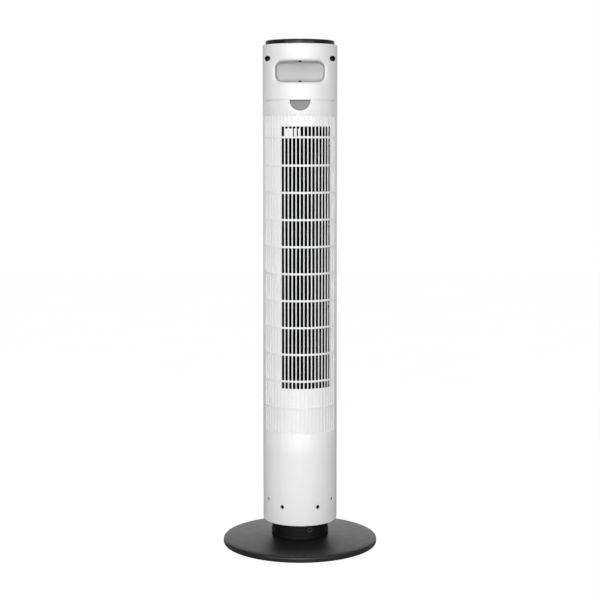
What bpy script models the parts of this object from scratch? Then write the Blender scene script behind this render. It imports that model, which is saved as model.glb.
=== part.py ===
"""Tower fan: a round white tower on a swivelling neck and a round black base.

Metres, +Z up. The origin is on the floor, under the middle of the base. The intake side, with the
carry handle, faces -Y, and the air outlet faces +Y. An azimuth is counted in degrees from -Y
towards +X, so 90 is the +X side and 180 the outlet.
"""

import math

import bmesh
import bpy
from mathutils import Matrix, Vector

# Overall sizes
OVERALL_HEIGHT = 1.0226
BODY_RADIUS = 0.075
BODY_BOTTOM = 0.052
BODY_TOP = 1.0137
WALL = 0.0025
BASE_RADIUS = 0.157
GAP = 0.0003
FACET = 6.0

# Base and neck
PLATE_RADIUS = 0.1472
PLATE_BOTTOM = 0.0040
PLATE_TOP = 0.0072
FOOT_RADIUS = 0.009
FOOT_CIRCLE = 0.128
FEET = 5
HUB_TOP = 0.0185
HUB_UNDERSIDE = 0.0135
NECK_RADIUS = 0.057
NECK_TOP = 0.050
SLEEVE_BOTTOM = 0.0290
NECK_SCREW_CIRCLE = 0.047
CORD_AZIMUTH = 20.0
CORD_HEIGHT = 0.039

# Swivel drive: a pinion on the tower rolls round a toothed ring on the neck
GEAR_MODULE = 0.0015
RING_TEETH = 40
PINION_TEETH = 8
PINION_DISTANCE = (RING_TEETH + PINION_TEETH) * GEAR_MODULE / 2 + GAP
GEAR_BOTTOM = NECK_TOP + GAP
GEAR_FACE = 0.006
CHASSIS_BOTTOM = 0.0600
CHASSIS_TOP = 0.0640
CUP_RADIUS = 0.0670
CUP_TOP = 0.1080
SPINDLE_RADIUS = 0.0120

# Rear grille panel, its slots and its bars
PANEL_HALF_ANGLE = 68.8
PANEL_BOTTOM = 0.1963
PANEL_TOP = 0.9027
PANEL_CLEARANCE = 0.0006
SEAT_RADIUS = 0.0722
LEDGE_RADIUS = 0.0700
LEDGE_WIDTH = 0.0063
LEDGE_ANGLE = 3.0
SLOT_WIDTH = 0.0050
SLOT_PITCH = 6.0
REAR_SLOT_FIRST = -27.0
REAR_SLOT_COUNT = 14
WINDOW_BOTTOM = 0.329
WINDOW_TOP = 0.850
BAR_HEIGHT = 0.004
BAR_PITCH = 0.0537
BAR_TOP_CENTRE = 0.8285
BARS = 10
NOTCH_RADIUS = 0.022
NOTCH_FLOOR_RADIUS = 0.066
GRILLE_SCREW_HEIGHT = 0.861

# Outlet grille
OUTLET_HALF_ANGLE = 38.8
OUTLET_BOTTOM = 0.3003
OUTLET_TOP = 0.8797
OUTLET_SLOTS = 10
OUTLET_BAR_PITCH = 3 * BAR_PITCH
OUTLET_BARS = 3

# Carry handle
HANDLE_HEIGHT = 0.959
HANDLE_HALF_WIDTH = 0.049
HANDLE_HALF_RISE = 0.021
HANDLE_CORNER = 0.010
HANDLE_BACK = -0.030
HANDLE_SCREW_RISE = 0.0225

# Screw wells in the rear housing
UPPER_WELL_X = 0.064
UPPER_WELL_HEIGHT = 0.9856
UPPER_WELL_RADIUS = 0.00525
UPPER_WELL_FLOOR = -0.012
LOWER_WELL_RADIUS = 0.0040
OUTER_WELL = (59.0, 0.099)
INNER_WELL = (28.7, 0.089)

# Fan wheel, its duct, motor and bearing
FAN_AXIS = (0.006, 0.0)
FAN_RADIUS = 0.0445
FAN_BOTTOM = 0.3330
FAN_TOP = 0.7980
FAN_DISC = 0.0020
FAN_RINGS = 5
FAN_RING_PITCH = (FAN_TOP - FAN_BOTTOM) / (FAN_RINGS + 1)
FAN_BLADES = 12
DUCT_WALL = 0.0020
DUCT_RADIUS = 0.0680
FLOOR_TOP = 0.3220
CEILING_BOTTOM = 0.8500
DECK_RADIUS = 0.0697
DECK_THICKNESS = 0.0030
BOSS_X = 0.0605
BOSS_TOP_HEIGHT = 0.8186
BOSS_PITCH = 3 * BAR_PITCH
BOSSES = 4
BRACKET_AZIMUTH = -15.0
BRACKET_BOTTOM = 0.8290
BRACKET_TOP = 0.8475
BRACKET_WIDTH = 0.020
SHAFT_RADIUS = 0.0040
MOTOR_RADIUS = 0.034
MOTOR_BOTTOM = 0.255
MOTOR_TOP = 0.3134

# Control top, display and boards
TOP_RADIUS = 0.0692
TOP_BOTTOM = 1.0140
BUTTON_RADIUS = 0.0055
BUTTON_Y = 0.028
BUTTON_SPACING = 0.018
BUTTON_TRAVEL = 0.0010
BOARD_THICKNESS = 0.0016
SWITCH_TOP = 1.0080
LENS_HALF_ANGLE = 16.7
LENS_BOTTOM = 0.9403
LENS_TOP = 0.9747


def clear_scene():
    for old in list(bpy.data.objects):
        bpy.data.objects.remove(old, do_unlink=True)


def new_collection(name):
    collection = bpy.data.collections.new(name)
    bpy.context.scene.collection.children.link(collection)
    return collection


clear_scene()
PARTS = new_collection("tower_fan")
CUTTERS = new_collection("tower_fan_cutters")


def material(name, colour, roughness, metallic=0.0):
    made = bpy.data.materials.new(name)
    made.use_nodes = True
    shader = made.node_tree.nodes["Principled BSDF"]
    shader.inputs["Base Color"].default_value = (*colour, 1.0)
    shader.inputs["Roughness"].default_value = roughness
    shader.inputs["Metallic"].default_value = metallic
    return made


WHITE_ABS = ("white_abs", (0.86, 0.86, 0.86), 0.38)
BLACK_ABS = ("black_abs", (0.015, 0.015, 0.016), 0.45)
GLOSS_BLACK = ("gloss_black", (0.008, 0.008, 0.009), 0.15)
RUBBER = ("rubber", (0.02, 0.02, 0.02), 0.85)
ACETAL = ("acetal", (0.80, 0.80, 0.76), 0.35)
STEEL = ("zinc_steel", (0.62, 0.62, 0.63), 0.35, 1.0)
PAINTED_STEEL = ("painted_steel", (0.05, 0.05, 0.05), 0.6, 0.3)
BRONZE = ("sintered_bronze", (0.45, 0.30, 0.14), 0.5, 1.0)
BOARD_GREEN = ("circuit_board", (0.02, 0.16, 0.06), 0.5)
BUTTON_GREY = ("button_grey", (0.30, 0.30, 0.31), 0.4)


def heading(azimuth):
    """Unit vector that points out from the tower's axis at this azimuth."""
    turn = math.radians(azimuth)
    return Vector((math.sin(turn), -math.cos(turn), 0.0))


def at(azimuth, radius, height=0.0):
    return heading(azimuth) * radius + Vector((0.0, 0.0, height))


def outward(azimuth):
    """Rotation that lays a shape's +Z along the outward direction at this azimuth."""
    return Matrix.Rotation(math.radians(azimuth), 4, "Z") @ Matrix.Rotation(math.radians(90), 4, "X")


def empty(name, location=(0.0, 0.0, 0.0), parent=None):
    made = bpy.data.objects.new(name, None)
    PARTS.objects.link(made)
    made.parent = parent
    made.location = location
    return made


def add_part(name, mesh, finish, parent, matrix=Matrix()):
    """A sub-part from a mesh in its own frame, placed by a matrix in the parent's frame."""
    made = bpy.data.objects.new(name, mesh)
    PARTS.objects.link(made)
    if not mesh.materials:
        mesh.materials.append(material(finish[0] + "_" + name, *finish[1:]))
    made.parent = parent
    made.matrix_local = matrix
    return made


def add_cutter(name, mesh, matrix=Matrix()):
    made = bpy.data.objects.new(name, mesh)
    CUTTERS.objects.link(made)
    made.matrix_local = matrix
    made.display_type = "WIRE"
    made.hide_render = True
    return made


def boolean(target, tool, operation):
    modifier = target.modifiers.new(f"{operation.lower()}_{tool.name}", "BOOLEAN")
    modifier.operation = operation
    modifier.solver = "EXACT"
    modifier.object = tool


def cut(target, tool):
    boolean(target, tool, "DIFFERENCE")


def join(target, tool):
    boolean(target, tool, "UNION")


def trim(target, tool):
    boolean(target, tool, "INTERSECT")


def mesh_from(name, bm):
    bmesh.ops.recalc_face_normals(bm, faces=bm.faces)
    mesh = bpy.data.meshes.new(name)
    bm.to_mesh(mesh)
    bm.free()
    mesh.shade_smooth()
    mesh.set_sharp_from_angle(angle=math.radians(30))
    return mesh


def profile_mesh(name, *loops):
    """Wire profiles in the XZ plane. A loop that starts on the axis is open, any other is closed."""
    mesh = bpy.data.meshes.new(name)
    points = []
    edges = []
    for loop in loops:
        first = len(points)
        points.extend((radius, 0.0, height) for radius, height in loop)
        edges.extend((first + i, first + i + 1) for i in range(len(loop) - 1))
        if loop[0][0] > 0:
            edges.append((len(points) - 1, first))
    mesh.from_pydata(points, edges, [])
    return mesh


def add_screw(target, steps):
    """Turns the object's profile once round its own Z axis."""
    modifier = target.modifiers.new("turn", "SCREW")
    modifier.axis = "Z"
    modifier.steps = steps
    modifier.render_steps = steps
    modifier.use_merge_vertices = True
    modifier.merge_threshold = 0.00001
    modifier.use_smooth_shade = True
    return target


def turned(name, finish, parent, *loops, steps=28, matrix=Matrix()):
    return add_screw(add_part(name, profile_mesh(name, *loops), finish, parent, matrix), steps)


def turned_cutter(name, *loops, steps=28, matrix=Matrix()):
    return add_screw(add_cutter(name, profile_mesh(name, *loops), matrix), steps)


def tube_loop(inner, outer, low, high):
    return [(inner, high), (outer, high), (outer, low), (inner, low)]


def rod_loop(radius, low, high):
    return [(0.0, high), (radius, high), (radius, low), (0.0, low)]


def sector_mesh(name, outline, start, end, steps):
    """A closed outline of (radius, height) swept round Z from one azimuth to the other."""
    bm = bmesh.new()
    direction = heading(start)
    corners = [bm.verts.new(direction * radius + Vector((0, 0, height))) for radius, height in outline]
    bm.faces.new(corners)
    bmesh.ops.spin(
        bm,
        geom=bm.verts[:] + bm.edges[:] + bm.faces[:],
        cent=(0, 0, 0),
        axis=(0, 0, 1),
        angle=math.radians(end - start),
        steps=steps,
        use_duplicate=False,
    )
    return mesh_from(name, bm)


def band(inner, outer, low, high):
    return [(inner, low), (outer, low), (outer, high), (inner, high)]


def sector_cutter(name, outline, middle, half_angle):
    steps = max(2, round(2 * half_angle / FACET))
    return add_cutter(name, sector_mesh(name, outline, middle - half_angle, middle + half_angle, steps))


def boxes_mesh(name, placements):
    """Boxes that don't touch, each given by its (width, depth, height) and its matrix."""
    bm = bmesh.new()
    for size, matrix in placements:
        bmesh.ops.create_cube(bm, size=1.0, matrix=matrix @ Matrix.Diagonal((*size, 1.0)))
    return mesh_from(name, bm)


def box_cutter(name, size, location):
    return add_cutter(name, boxes_mesh(name, [(size, Matrix.Translation(location))]))


def rods_mesh(name, placements, radius, low, high, segments=12):
    """Rods that don't touch, each along the local Z of its matrix, from low to high."""
    bm = bmesh.new()
    middle = Matrix.Translation((0, 0, (low + high) / 2))
    for matrix in placements:
        bmesh.ops.create_cone(
            bm,
            cap_ends=True,
            segments=segments,
            radius1=radius,
            radius2=radius,
            depth=high - low,
            matrix=matrix @ middle,
        )
    return mesh_from(name, bm)


def rods_cutter(name, placements, radius, low, high, segments=12):
    return add_cutter(name, rods_mesh(name, placements, radius, low, high, segments))


def rounded_block(name, half_width, half_height, front, back, corner, taper=1.0):
    """A block along Y whose four long edges are rounded, and whose back end is scaled by taper."""
    bm = bmesh.new()
    bmesh.ops.create_cube(bm, size=2.0)
    for vertex in bm.verts:
        scale = taper if vertex.co.y > 0 else 1.0
        depth = back if vertex.co.y > 0 else front
        vertex.co = Vector((vertex.co.x * half_width * scale, depth, vertex.co.z * half_height * scale))
    long_edges = [e for e in bm.edges if abs(e.verts[0].co.y - e.verts[1].co.y) > abs(back - front) / 2]
    bmesh.ops.bevel(bm, geom=long_edges, offset=corner, segments=4, profile=0.5, affect="EDGES")
    return mesh_from(name, bm)


def screw_loop(head_radius, head_height, shank_radius, shank_length):
    """A pan head screw. Its head sits on z = 0, its shank points to -Z."""
    return [
        (0.0, head_height),
        (head_radius * 0.7, head_height),
        (head_radius, head_height * 0.4),
        (head_radius, 0.0),
        (shank_radius, 0.0),
        (shank_radius, -shank_length),
        (0.0, -shank_length - shank_radius),
    ]


def gear_outline(teeth, root, tip):
    """Points round a spur gear. A tooth is as wide as 0.42 of its pitch at the root, 0.2 at the tip."""
    points = []
    pitch = 2 * math.pi / teeth
    for tooth in range(teeth):
        for radius, share in ((root, -0.21), (tip, -0.10), (tip, 0.10), (root, 0.21)):
            turn = (tooth + share) * pitch
            points.append((radius * math.cos(turn), radius * math.sin(turn)))
    return points


def flat_outline_mesh(name, outlines, low, high):
    """The solid between two heights of an outline, less the outlines that follow it."""
    curve = bpy.data.curves.new(name, "CURVE")
    curve.dimensions = "2D"
    curve.fill_mode = "BOTH"
    curve.extrude = (high - low) / 2
    for outline in outlines:
        spline = curve.splines.new("POLY")
        spline.points.add(len(outline) - 1)
        for point, (x, y) in zip(spline.points, outline):
            point.co = (x, y, 0.0, 1.0)
        spline.use_cyclic_u = True
    holder = bpy.data.objects.new(name + "_outline", curve)
    CUTTERS.objects.link(holder)
    bpy.context.view_layer.update()
    evaluated = holder.evaluated_get(bpy.context.evaluated_depsgraph_get())
    flat = bpy.data.meshes.new_from_object(evaluated)
    bm = bmesh.new()
    bm.from_mesh(flat)
    bmesh.ops.remove_doubles(bm, verts=bm.verts, dist=0.00001)
    bmesh.ops.translate(bm, verts=bm.verts, vec=(0, 0, (low + high) / 2))
    bpy.data.objects.remove(holder)
    bpy.data.curves.remove(curve)
    bpy.data.meshes.remove(flat)
    return mesh_from(name, bm)


def circle_points(radius, count):
    return [
        (radius * math.cos(2 * math.pi * i / count), radius * math.sin(2 * math.pi * i / count))
        for i in range(count)
    ]


def wall_mesh(name, points, low, high):
    """An upright open surface that follows points in plan."""
    bm = bmesh.new()
    verts = [bm.verts.new((x, y, low)) for x, y in points]
    edges = [bm.edges.new(pair) for pair in zip(verts, verts[1:])]
    made = bmesh.ops.extrude_edge_only(bm, edges=edges)["geom"]
    upper = [item for item in made if isinstance(item, bmesh.types.BMVert)]
    bmesh.ops.translate(bm, verts=upper, vec=(0, 0, high - low))
    return mesh_from(name, bm)


def make_base(frame):
    cover = turned(
        "base_cover",
        BLACK_ABS,
        frame,
        [
            (0.0, HUB_TOP),
            (0.066, HUB_TOP),
            (0.100, 0.0162),
            (0.147, 0.0135),
            (0.1530, 0.0125),
            (BASE_RADIUS - 0.0005, 0.0108),
            (BASE_RADIUS, 0.0090),
            (BASE_RADIUS, 0.0026),
            (BASE_RADIUS - 0.0016, 0.0010),
            (PLATE_RADIUS + GAP, 0.0010),
            (PLATE_RADIUS + GAP, PLATE_TOP + GAP),
            (0.140, PLATE_TOP + GAP),
            (0.138, 0.0102),
            (0.070, HUB_UNDERSIDE),
            (0.020, HUB_UNDERSIDE),
            (0.020, PLATE_TOP + GAP),
            (0.0, PLATE_TOP + GAP),
        ],
        steps=36,
    )
    turned("base_weight", PAINTED_STEEL, frame, rod_loop(PLATE_RADIUS, PLATE_BOTTOM, PLATE_TOP), steps=36)
    foot = [
        (0.0, PLATE_BOTTOM - GAP),
        (FOOT_RADIUS, PLATE_BOTTOM - GAP),
        (FOOT_RADIUS, 0.0010),
        (FOOT_RADIUS - 0.0010, 0.0),
        (0.0, 0.0),
    ]
    for i in range(FEET):
        place = Matrix.Translation(at(i * 360 / FEET, FOOT_CIRCLE))
        turned(f"rubber_foot_{i + 1}", RUBBER, frame, foot, steps=14, matrix=place)
    return cover


def make_neck(frame, cover):
    inner = NECK_RADIUS - WALL
    neck = turned(
        "neck",
        BLACK_ABS,
        frame,
        [
            (SPINDLE_RADIUS + GAP, NECK_TOP),
            (NECK_RADIUS - 0.001, NECK_TOP),
            (NECK_RADIUS, NECK_TOP - 0.001),
            (NECK_RADIUS, 0.0322),
            (0.0582, 0.0318),
            (0.0582, 0.0264),
            (0.0600, 0.0258),
            (0.0612, 0.0215),
            (0.0640, HUB_TOP + GAP),
            (0.0400, HUB_TOP + GAP),
            (0.0400, 0.0228),
            (inner, 0.0228),
            (inner, NECK_TOP - 0.003),
            (SPINDLE_RADIUS + 0.0045, NECK_TOP - 0.003),
            (SPINDLE_RADIUS + 0.0045, SLEEVE_BOTTOM),
            (SPINDLE_RADIUS + GAP, SLEEVE_BOTTOM),
        ],
        steps=36,
    )
    places = [Matrix.Translation(at(60 + i * 120, NECK_SCREW_CIRCLE, HUB_UNDERSIDE - GAP)) for i in range(3)]
    holes = rods_cutter("neck_screw_holes", places, 0.0021, -0.001, 0.012)
    cut(cover, holes)
    cut(neck, holes)
    upside_down = Matrix.Rotation(math.pi, 4, "X")
    for i, place in enumerate(places):
        loop = screw_loop(0.0040, 0.0025, 0.0018, 0.0090)
        turned(f"neck_screw_{i + 1}", STEEL, frame, loop, steps=8, matrix=place @ upside_down)

    gland = Matrix.Translation((0, 0, CORD_HEIGHT)) @ outward(CORD_AZIMUTH)
    cut(neck, rods_cutter("gland_hole", [gland], 0.0043, 0.050, 0.062))
    turned(
        "cord_grommet",
        RUBBER,
        frame,
        [
            (0.0028, NECK_RADIUS + 0.0016),
            (0.0052, NECK_RADIUS + 0.0012),
            (0.0052, NECK_RADIUS + GAP),
            (0.0040, NECK_RADIUS + GAP),
            (0.0040, inner - 0.0006),
            (0.0052, inner - 0.0006),
            (0.0052, inner - 0.0020),
            (0.0028, inner - 0.0020),
        ],
        steps=14,
        matrix=gland,
    )

    top = GEAR_BOTTOM + GEAR_FACE
    outline = gear_outline(RING_TEETH, 0.0281, 0.0313)
    ring = flat_outline_mesh("gear_ring", [outline, circle_points(0.0205, 24)], GEAR_BOTTOM, top)
    add_part("gear_ring", ring, ACETAL, frame)
    middle = (GEAR_BOTTOM + CHASSIS_BOTTOM) / 2
    turned(
        "swivel_bearing",
        ACETAL,
        frame,
        [
            (0.0445, CHASSIS_BOTTOM - GAP),
            (0.0515, CHASSIS_BOTTOM - GAP),
            (0.0515, middle + 0.0015),
            (0.0500, middle),
            (0.0515, middle - 0.0015),
            (0.0515, GEAR_BOTTOM),
            (0.0445, GEAR_BOTTOM),
        ],
    )


def make_chassis(tower):
    chassis = turned(
        "chassis_plate",
        BLACK_ABS,
        tower,
        [
            (0.0085, CHASSIS_TOP),
            (CUP_RADIUS - WALL, CHASSIS_TOP),
            (CUP_RADIUS - WALL, CUP_TOP),
            (CUP_RADIUS, CUP_TOP),
            (CUP_RADIUS, CHASSIS_TOP),
            (0.0720, CHASSIS_TOP),
            (0.0720, CHASSIS_BOTTOM),
            (SPINDLE_RADIUS, CHASSIS_BOTTOM),
            (SPINDLE_RADIUS, SLEEVE_BOTTOM - 0.0001),
            (SPINDLE_RADIUS - 0.0015, SLEEVE_BOTTOM - 0.0001),
            (SPINDLE_RADIUS - 0.0015, 0.0260),
            (SPINDLE_RADIUS, 0.0260),
            (SPINDLE_RADIUS, 0.0235),
            (0.0085, 0.0235),
        ],
    )
    turned(
        "pivot_retainer",
        STEEL,
        tower,
        tube_loop(SPINDLE_RADIUS - 0.0012, 0.0190, 0.0263, SLEEVE_BOTTOM - GAP),
        steps=24,
    )
    shaft_hole = Matrix.Translation((PINION_DISTANCE, 0, 0))
    cut(chassis, rods_cutter("pinion_shaft_hole", [shaft_hole], 0.0040, 0.055, 0.068))
    return chassis


def make_swivel_drive(tower):
    low = CHASSIS_TOP + GAP
    motor = turned(
        "oscillation_motor",
        PAINTED_STEEL,
        tower,
        [
            (0.0033, low + 0.018),
            (0.0075, low + 0.018),
            (0.0075, low + 0.0165),
            (0.0165, low + 0.0165),
            (0.0175, low + 0.0155),
            (0.0175, low),
            (0.0033, low),
        ],
        steps=24,
        matrix=Matrix.Translation((PINION_DISTANCE, 0, 0)),
    )
    ears = boxes_mesh("motor_ears", [((0.0075, 0.042, 0.0015), Matrix.Translation((PINION_DISTANCE, 0, low + 0.00075)))])
    ear_tool = add_cutter("motor_ears", ears)
    cut(ear_tool, rods_cutter("motor_ear_bore", [Matrix.Translation((PINION_DISTANCE, 0, 0))], 0.0050, 0.060, 0.070))
    join(motor, ear_tool)

    axis = empty("pinion_axis", (PINION_DISTANCE, 0, 0), tower)
    half_tooth = Matrix.Rotation(math.pi / PINION_TEETH, 4, "Z")
    outline = gear_outline(PINION_TEETH, 0.0043, 0.0072)
    gear = flat_outline_mesh("drive_pinion", [outline], GEAR_BOTTOM + 0.0005, GEAR_BOTTOM + GEAR_FACE - 0.0005)
    pinion = add_part("drive_pinion", gear, ACETAL, axis, half_tooth)
    shaft = rods_cutter(
        "pinion_shaft", [Matrix.Translation((PINION_DISTANCE, 0, 0))], 0.0030, 0.0540, low + 0.015, 12
    )
    join(pinion, shaft)


def frame_cutters(name, middle, half_angle, low, high):
    """The block of a grille's backing ledge, the window through it and the seat for the grille."""
    outer = half_angle + LEDGE_ANGLE
    inner = half_angle - LEDGE_ANGLE
    block = band(LEDGE_RADIUS, BODY_RADIUS - 0.0015, low - LEDGE_WIDTH, high + LEDGE_WIDTH)
    window = band(0.060, 0.080, low + LEDGE_WIDTH, high - LEDGE_WIDTH)
    seat = band(SEAT_RADIUS, 0.080, low - PANEL_CLEARANCE, high + PANEL_CLEARANCE)
    return (
        sector_cutter(name + "_block", block, middle, outer),
        sector_cutter(name + "_window", window, middle, inner),
        sector_cutter(name + "_seat", seat, middle, half_angle + 0.4),
    )


def housing_outline():
    inner = BODY_RADIUS - WALL
    return [
        (inner, BODY_BOTTOM),
        (BODY_RADIUS, BODY_BOTTOM),
        (BODY_RADIUS, BODY_TOP - 0.0020),
        (BODY_RADIUS - 0.0020, BODY_TOP),
        (0.0600, BODY_TOP),
        (0.0600, BODY_TOP - WALL),
        (inner, BODY_TOP - WALL),
    ]


def upper_well_places():
    along_y = Matrix.Rotation(math.radians(-90), 4, "X")
    return [Matrix.Translation((side * UPPER_WELL_X, 0, UPPER_WELL_HEIGHT)) @ along_y for side in (-1, 1)]


def lower_well_places():
    wells = [(side * azimuth, height) for azimuth, height in (OUTER_WELL, INNER_WELL) for side in (-1, 1)]
    return [Matrix.Translation((0, 0, height)) @ outward(azimuth) for azimuth, height in wells]


def make_rear_housing(tower, chassis, body_core):
    housing = add_part(
        "rear_housing",
        sector_mesh("rear_housing", housing_outline(), -96, 96, 32),
        WHITE_ABS,
        tower,
    )
    block, window, seat = frame_cutters("rear", 0, PANEL_HALF_ANGLE, PANEL_BOTTOM, PANEL_TOP)
    join(housing, block)
    cut(housing, window)
    cut(housing, seat)

    floor_low = PANEL_TOP - NOTCH_RADIUS - 0.006
    floor_high = PANEL_TOP + LEDGE_WIDTH
    floor = band(NOTCH_FLOOR_RADIUS - 0.002, NOTCH_FLOOR_RADIUS, floor_low, floor_high)
    shelf = band(NOTCH_FLOOR_RADIUS - 0.001, LEDGE_RADIUS + 0.001, PANEL_TOP + 0.001, floor_high - 0.001)
    lug = band(NOTCH_FLOOR_RADIUS - 0.0018, NOTCH_FLOOR_RADIUS - 0.0003, CEILING_BOTTOM + 0.0045, floor_low + 0.001)
    join(housing, sector_cutter("notch_floor", floor, 0, 24))
    join(housing, sector_cutter("notch_shelf", shelf, 0, 23))
    join(housing, sector_cutter("grille_screw_lug", lug, 0, 5))
    recess_depth = 0.014
    recess_size = (2 * NOTCH_RADIUS + 0.002, recess_depth, 0.034)
    recess_y = -(NOTCH_FLOOR_RADIUS + GAP + recess_depth / 2)
    recess_top = PANEL_TOP + PANEL_CLEARANCE
    cut(housing, box_cutter("notch_recess", recess_size, (0, recess_y, recess_top - recess_size[2] / 2)))
    grille_screw = Matrix.Translation((0, 0, GRILLE_SCREW_HEIGHT)) @ outward(0)
    cut(housing, rods_cutter("grille_screw_lug_hole", [grille_screw], 0.0018, 0.060, 0.068))

    opening = rounded_block(
        "handle_opening", HANDLE_HALF_WIDTH, HANDLE_HALF_RISE, -0.090, -0.035, HANDLE_CORNER
    )
    cut(housing, add_cutter("handle_opening", opening, Matrix.Translation((0, 0, HANDLE_HEIGHT))))

    wells = upper_well_places()
    tubes = rods_cutter("upper_well_tubes", wells, UPPER_WELL_RADIUS + 0.0012, -0.070, UPPER_WELL_FLOOR, 16)
    trim(tubes, body_core)
    join(housing, tubes)
    cut(housing, rods_cutter("upper_wells", wells, UPPER_WELL_RADIUS, -0.090, UPPER_WELL_FLOOR - 0.0015, 16))
    cut(housing, rods_cutter("upper_screw_holes", wells, 0.0022, -0.020, 0.0, 8))

    wells = lower_well_places()
    tubes = rods_cutter("lower_well_tubes", wells, LOWER_WELL_RADIUS + 0.0012, CUP_RADIUS + 0.0004, 0.0735)
    join(housing, tubes)
    cut(housing, rods_cutter("lower_wells", wells, LOWER_WELL_RADIUS, CUP_RADIUS - 0.001, 0.080))
    cut(chassis, rods_cutter("lower_screw_holes", wells, 0.0018, 0.060, 0.070, 8))
    return housing


def make_front_housing(tower, body_core):
    housing = add_part(
        "front_housing",
        sector_mesh("front_housing", housing_outline(), 96.25, 263.75, 28),
        WHITE_ABS,
        tower,
    )
    block, window, seat = frame_cutters("outlet", 180, OUTLET_HALF_ANGLE, OUTLET_BOTTOM, OUTLET_TOP)
    join(housing, block)
    cut(housing, window)
    cut(housing, seat)
    lens = band(0.060, 0.080, LENS_BOTTOM - GAP, LENS_TOP + GAP)
    cut(housing, sector_cutter("lens_opening", lens, 180, LENS_HALF_ANGLE + 0.3))
    wells = upper_well_places()
    bosses = rods_cutter("front_screw_bosses", wells, 0.0045, UPPER_WELL_FLOOR + GAP, 0.045)
    trim(bosses, body_core)
    join(housing, bosses)
    cut(housing, rods_cutter("front_screw_holes", wells, 0.0018, -0.014, 0.004, 8))


def make_housing_screws(tower):
    upper = screw_loop(0.0040, 0.0026, 0.0015, 0.0130)
    lower = screw_loop(0.0031, 0.0020, 0.0015, 0.0055)
    flipped = Matrix.Rotation(math.pi, 4, "X")
    seat = Matrix.Translation((0, 0, UPPER_WELL_FLOOR - 0.0015 - GAP))
    places = [(place @ seat @ flipped, upper) for place in upper_well_places()]
    seat = Matrix.Translation((0, 0, CUP_RADIUS + GAP))
    places.extend((place @ seat, lower) for place in lower_well_places())
    for i, (place, loop) in enumerate(places):
        turned(f"housing_screw_{i + 1}", STEEL, tower, loop, steps=8, matrix=place)


def slot_cells(bottom, top, bar_pitch, bar_count):
    """(low, high) of each row of slots between the horizontal bars."""
    bars = [BAR_TOP_CENTRE - i * bar_pitch for i in range(bar_count)]
    highs = [top] + [bar - BAR_HEIGHT / 2 for bar in bars]
    lows = [bar + BAR_HEIGHT / 2 for bar in bars] + [bottom]
    return list(zip(lows, highs))


def slots_cutter(name, azimuths, cells):
    placements = []
    for azimuth in azimuths:
        turn = Matrix.Rotation(math.radians(azimuth), 4, "Z")
        for low, high in cells:
            size = (SLOT_WIDTH, 0.012, high - low)
            placements.append((size, turn @ Matrix.Translation((0, -BODY_RADIUS, (low + high) / 2))))
    return add_cutter(name, boxes_mesh(name, placements))


def curved_panel(name, tower, middle, half_angle, low, high):
    """A panel of the tower's wall. Its facets meet on the middle lines of the ribs."""
    facets = math.ceil(half_angle / SLOT_PITCH)
    start, end = middle - facets * SLOT_PITCH, middle + facets * SLOT_PITCH
    outline = band(BODY_RADIUS - WALL, BODY_RADIUS, low - 0.005, high + 0.005)
    panel = add_part(name, sector_mesh(name, outline, start, end, 2 * facets), WHITE_ABS, tower)
    trim(panel, sector_cutter(name + "_edge", band(0.060, 0.090, low, high), middle, half_angle))
    return panel


def make_rear_grille(tower):
    grille = curved_panel("rear_grille", tower, 0, PANEL_HALF_ANGLE, PANEL_BOTTOM, PANEL_TOP)
    azimuths = [REAR_SLOT_FIRST + i * SLOT_PITCH for i in range(REAR_SLOT_COUNT)]
    cut(grille, slots_cutter("rear_slots", azimuths, slot_cells(WINDOW_BOTTOM, WINDOW_TOP, BAR_PITCH, BARS)))
    notch = Matrix.Translation((0, 0, PANEL_TOP)) @ outward(0)
    cut(grille, rods_cutter("finger_notch", [notch], NOTCH_RADIUS, 0.060, 0.090, 28))
    screw = Matrix.Translation((0, 0, GRILLE_SCREW_HEIGHT)) @ outward(0)
    cut(grille, rods_cutter("grille_screw_counterbore", [screw], 0.0045, 0.0734, 0.080, 14))
    cut(grille, rods_cutter("grille_screw_hole", [screw], 0.0020, 0.070, 0.0738, 8))
    loop = screw_loop(0.0040, 0.0013, 0.0015, 0.0120)
    place = screw @ Matrix.Translation((0, 0, 0.0734 + GAP))
    turned("grille_screw", STEEL, tower, loop, steps=12, matrix=place)


def make_outlet_grille(tower):
    grille = curved_panel("outlet_grille", tower, 180, OUTLET_HALF_ANGLE, OUTLET_BOTTOM, OUTLET_TOP)
    first = 180 - (OUTLET_SLOTS - 1) * SLOT_PITCH / 2
    azimuths = [first + i * SLOT_PITCH for i in range(OUTLET_SLOTS)]
    cut(grille, slots_cutter("outlet_slots", azimuths, slot_cells(WINDOW_BOTTOM, WINDOW_TOP, OUTLET_BAR_PITCH, OUTLET_BARS)))


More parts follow.
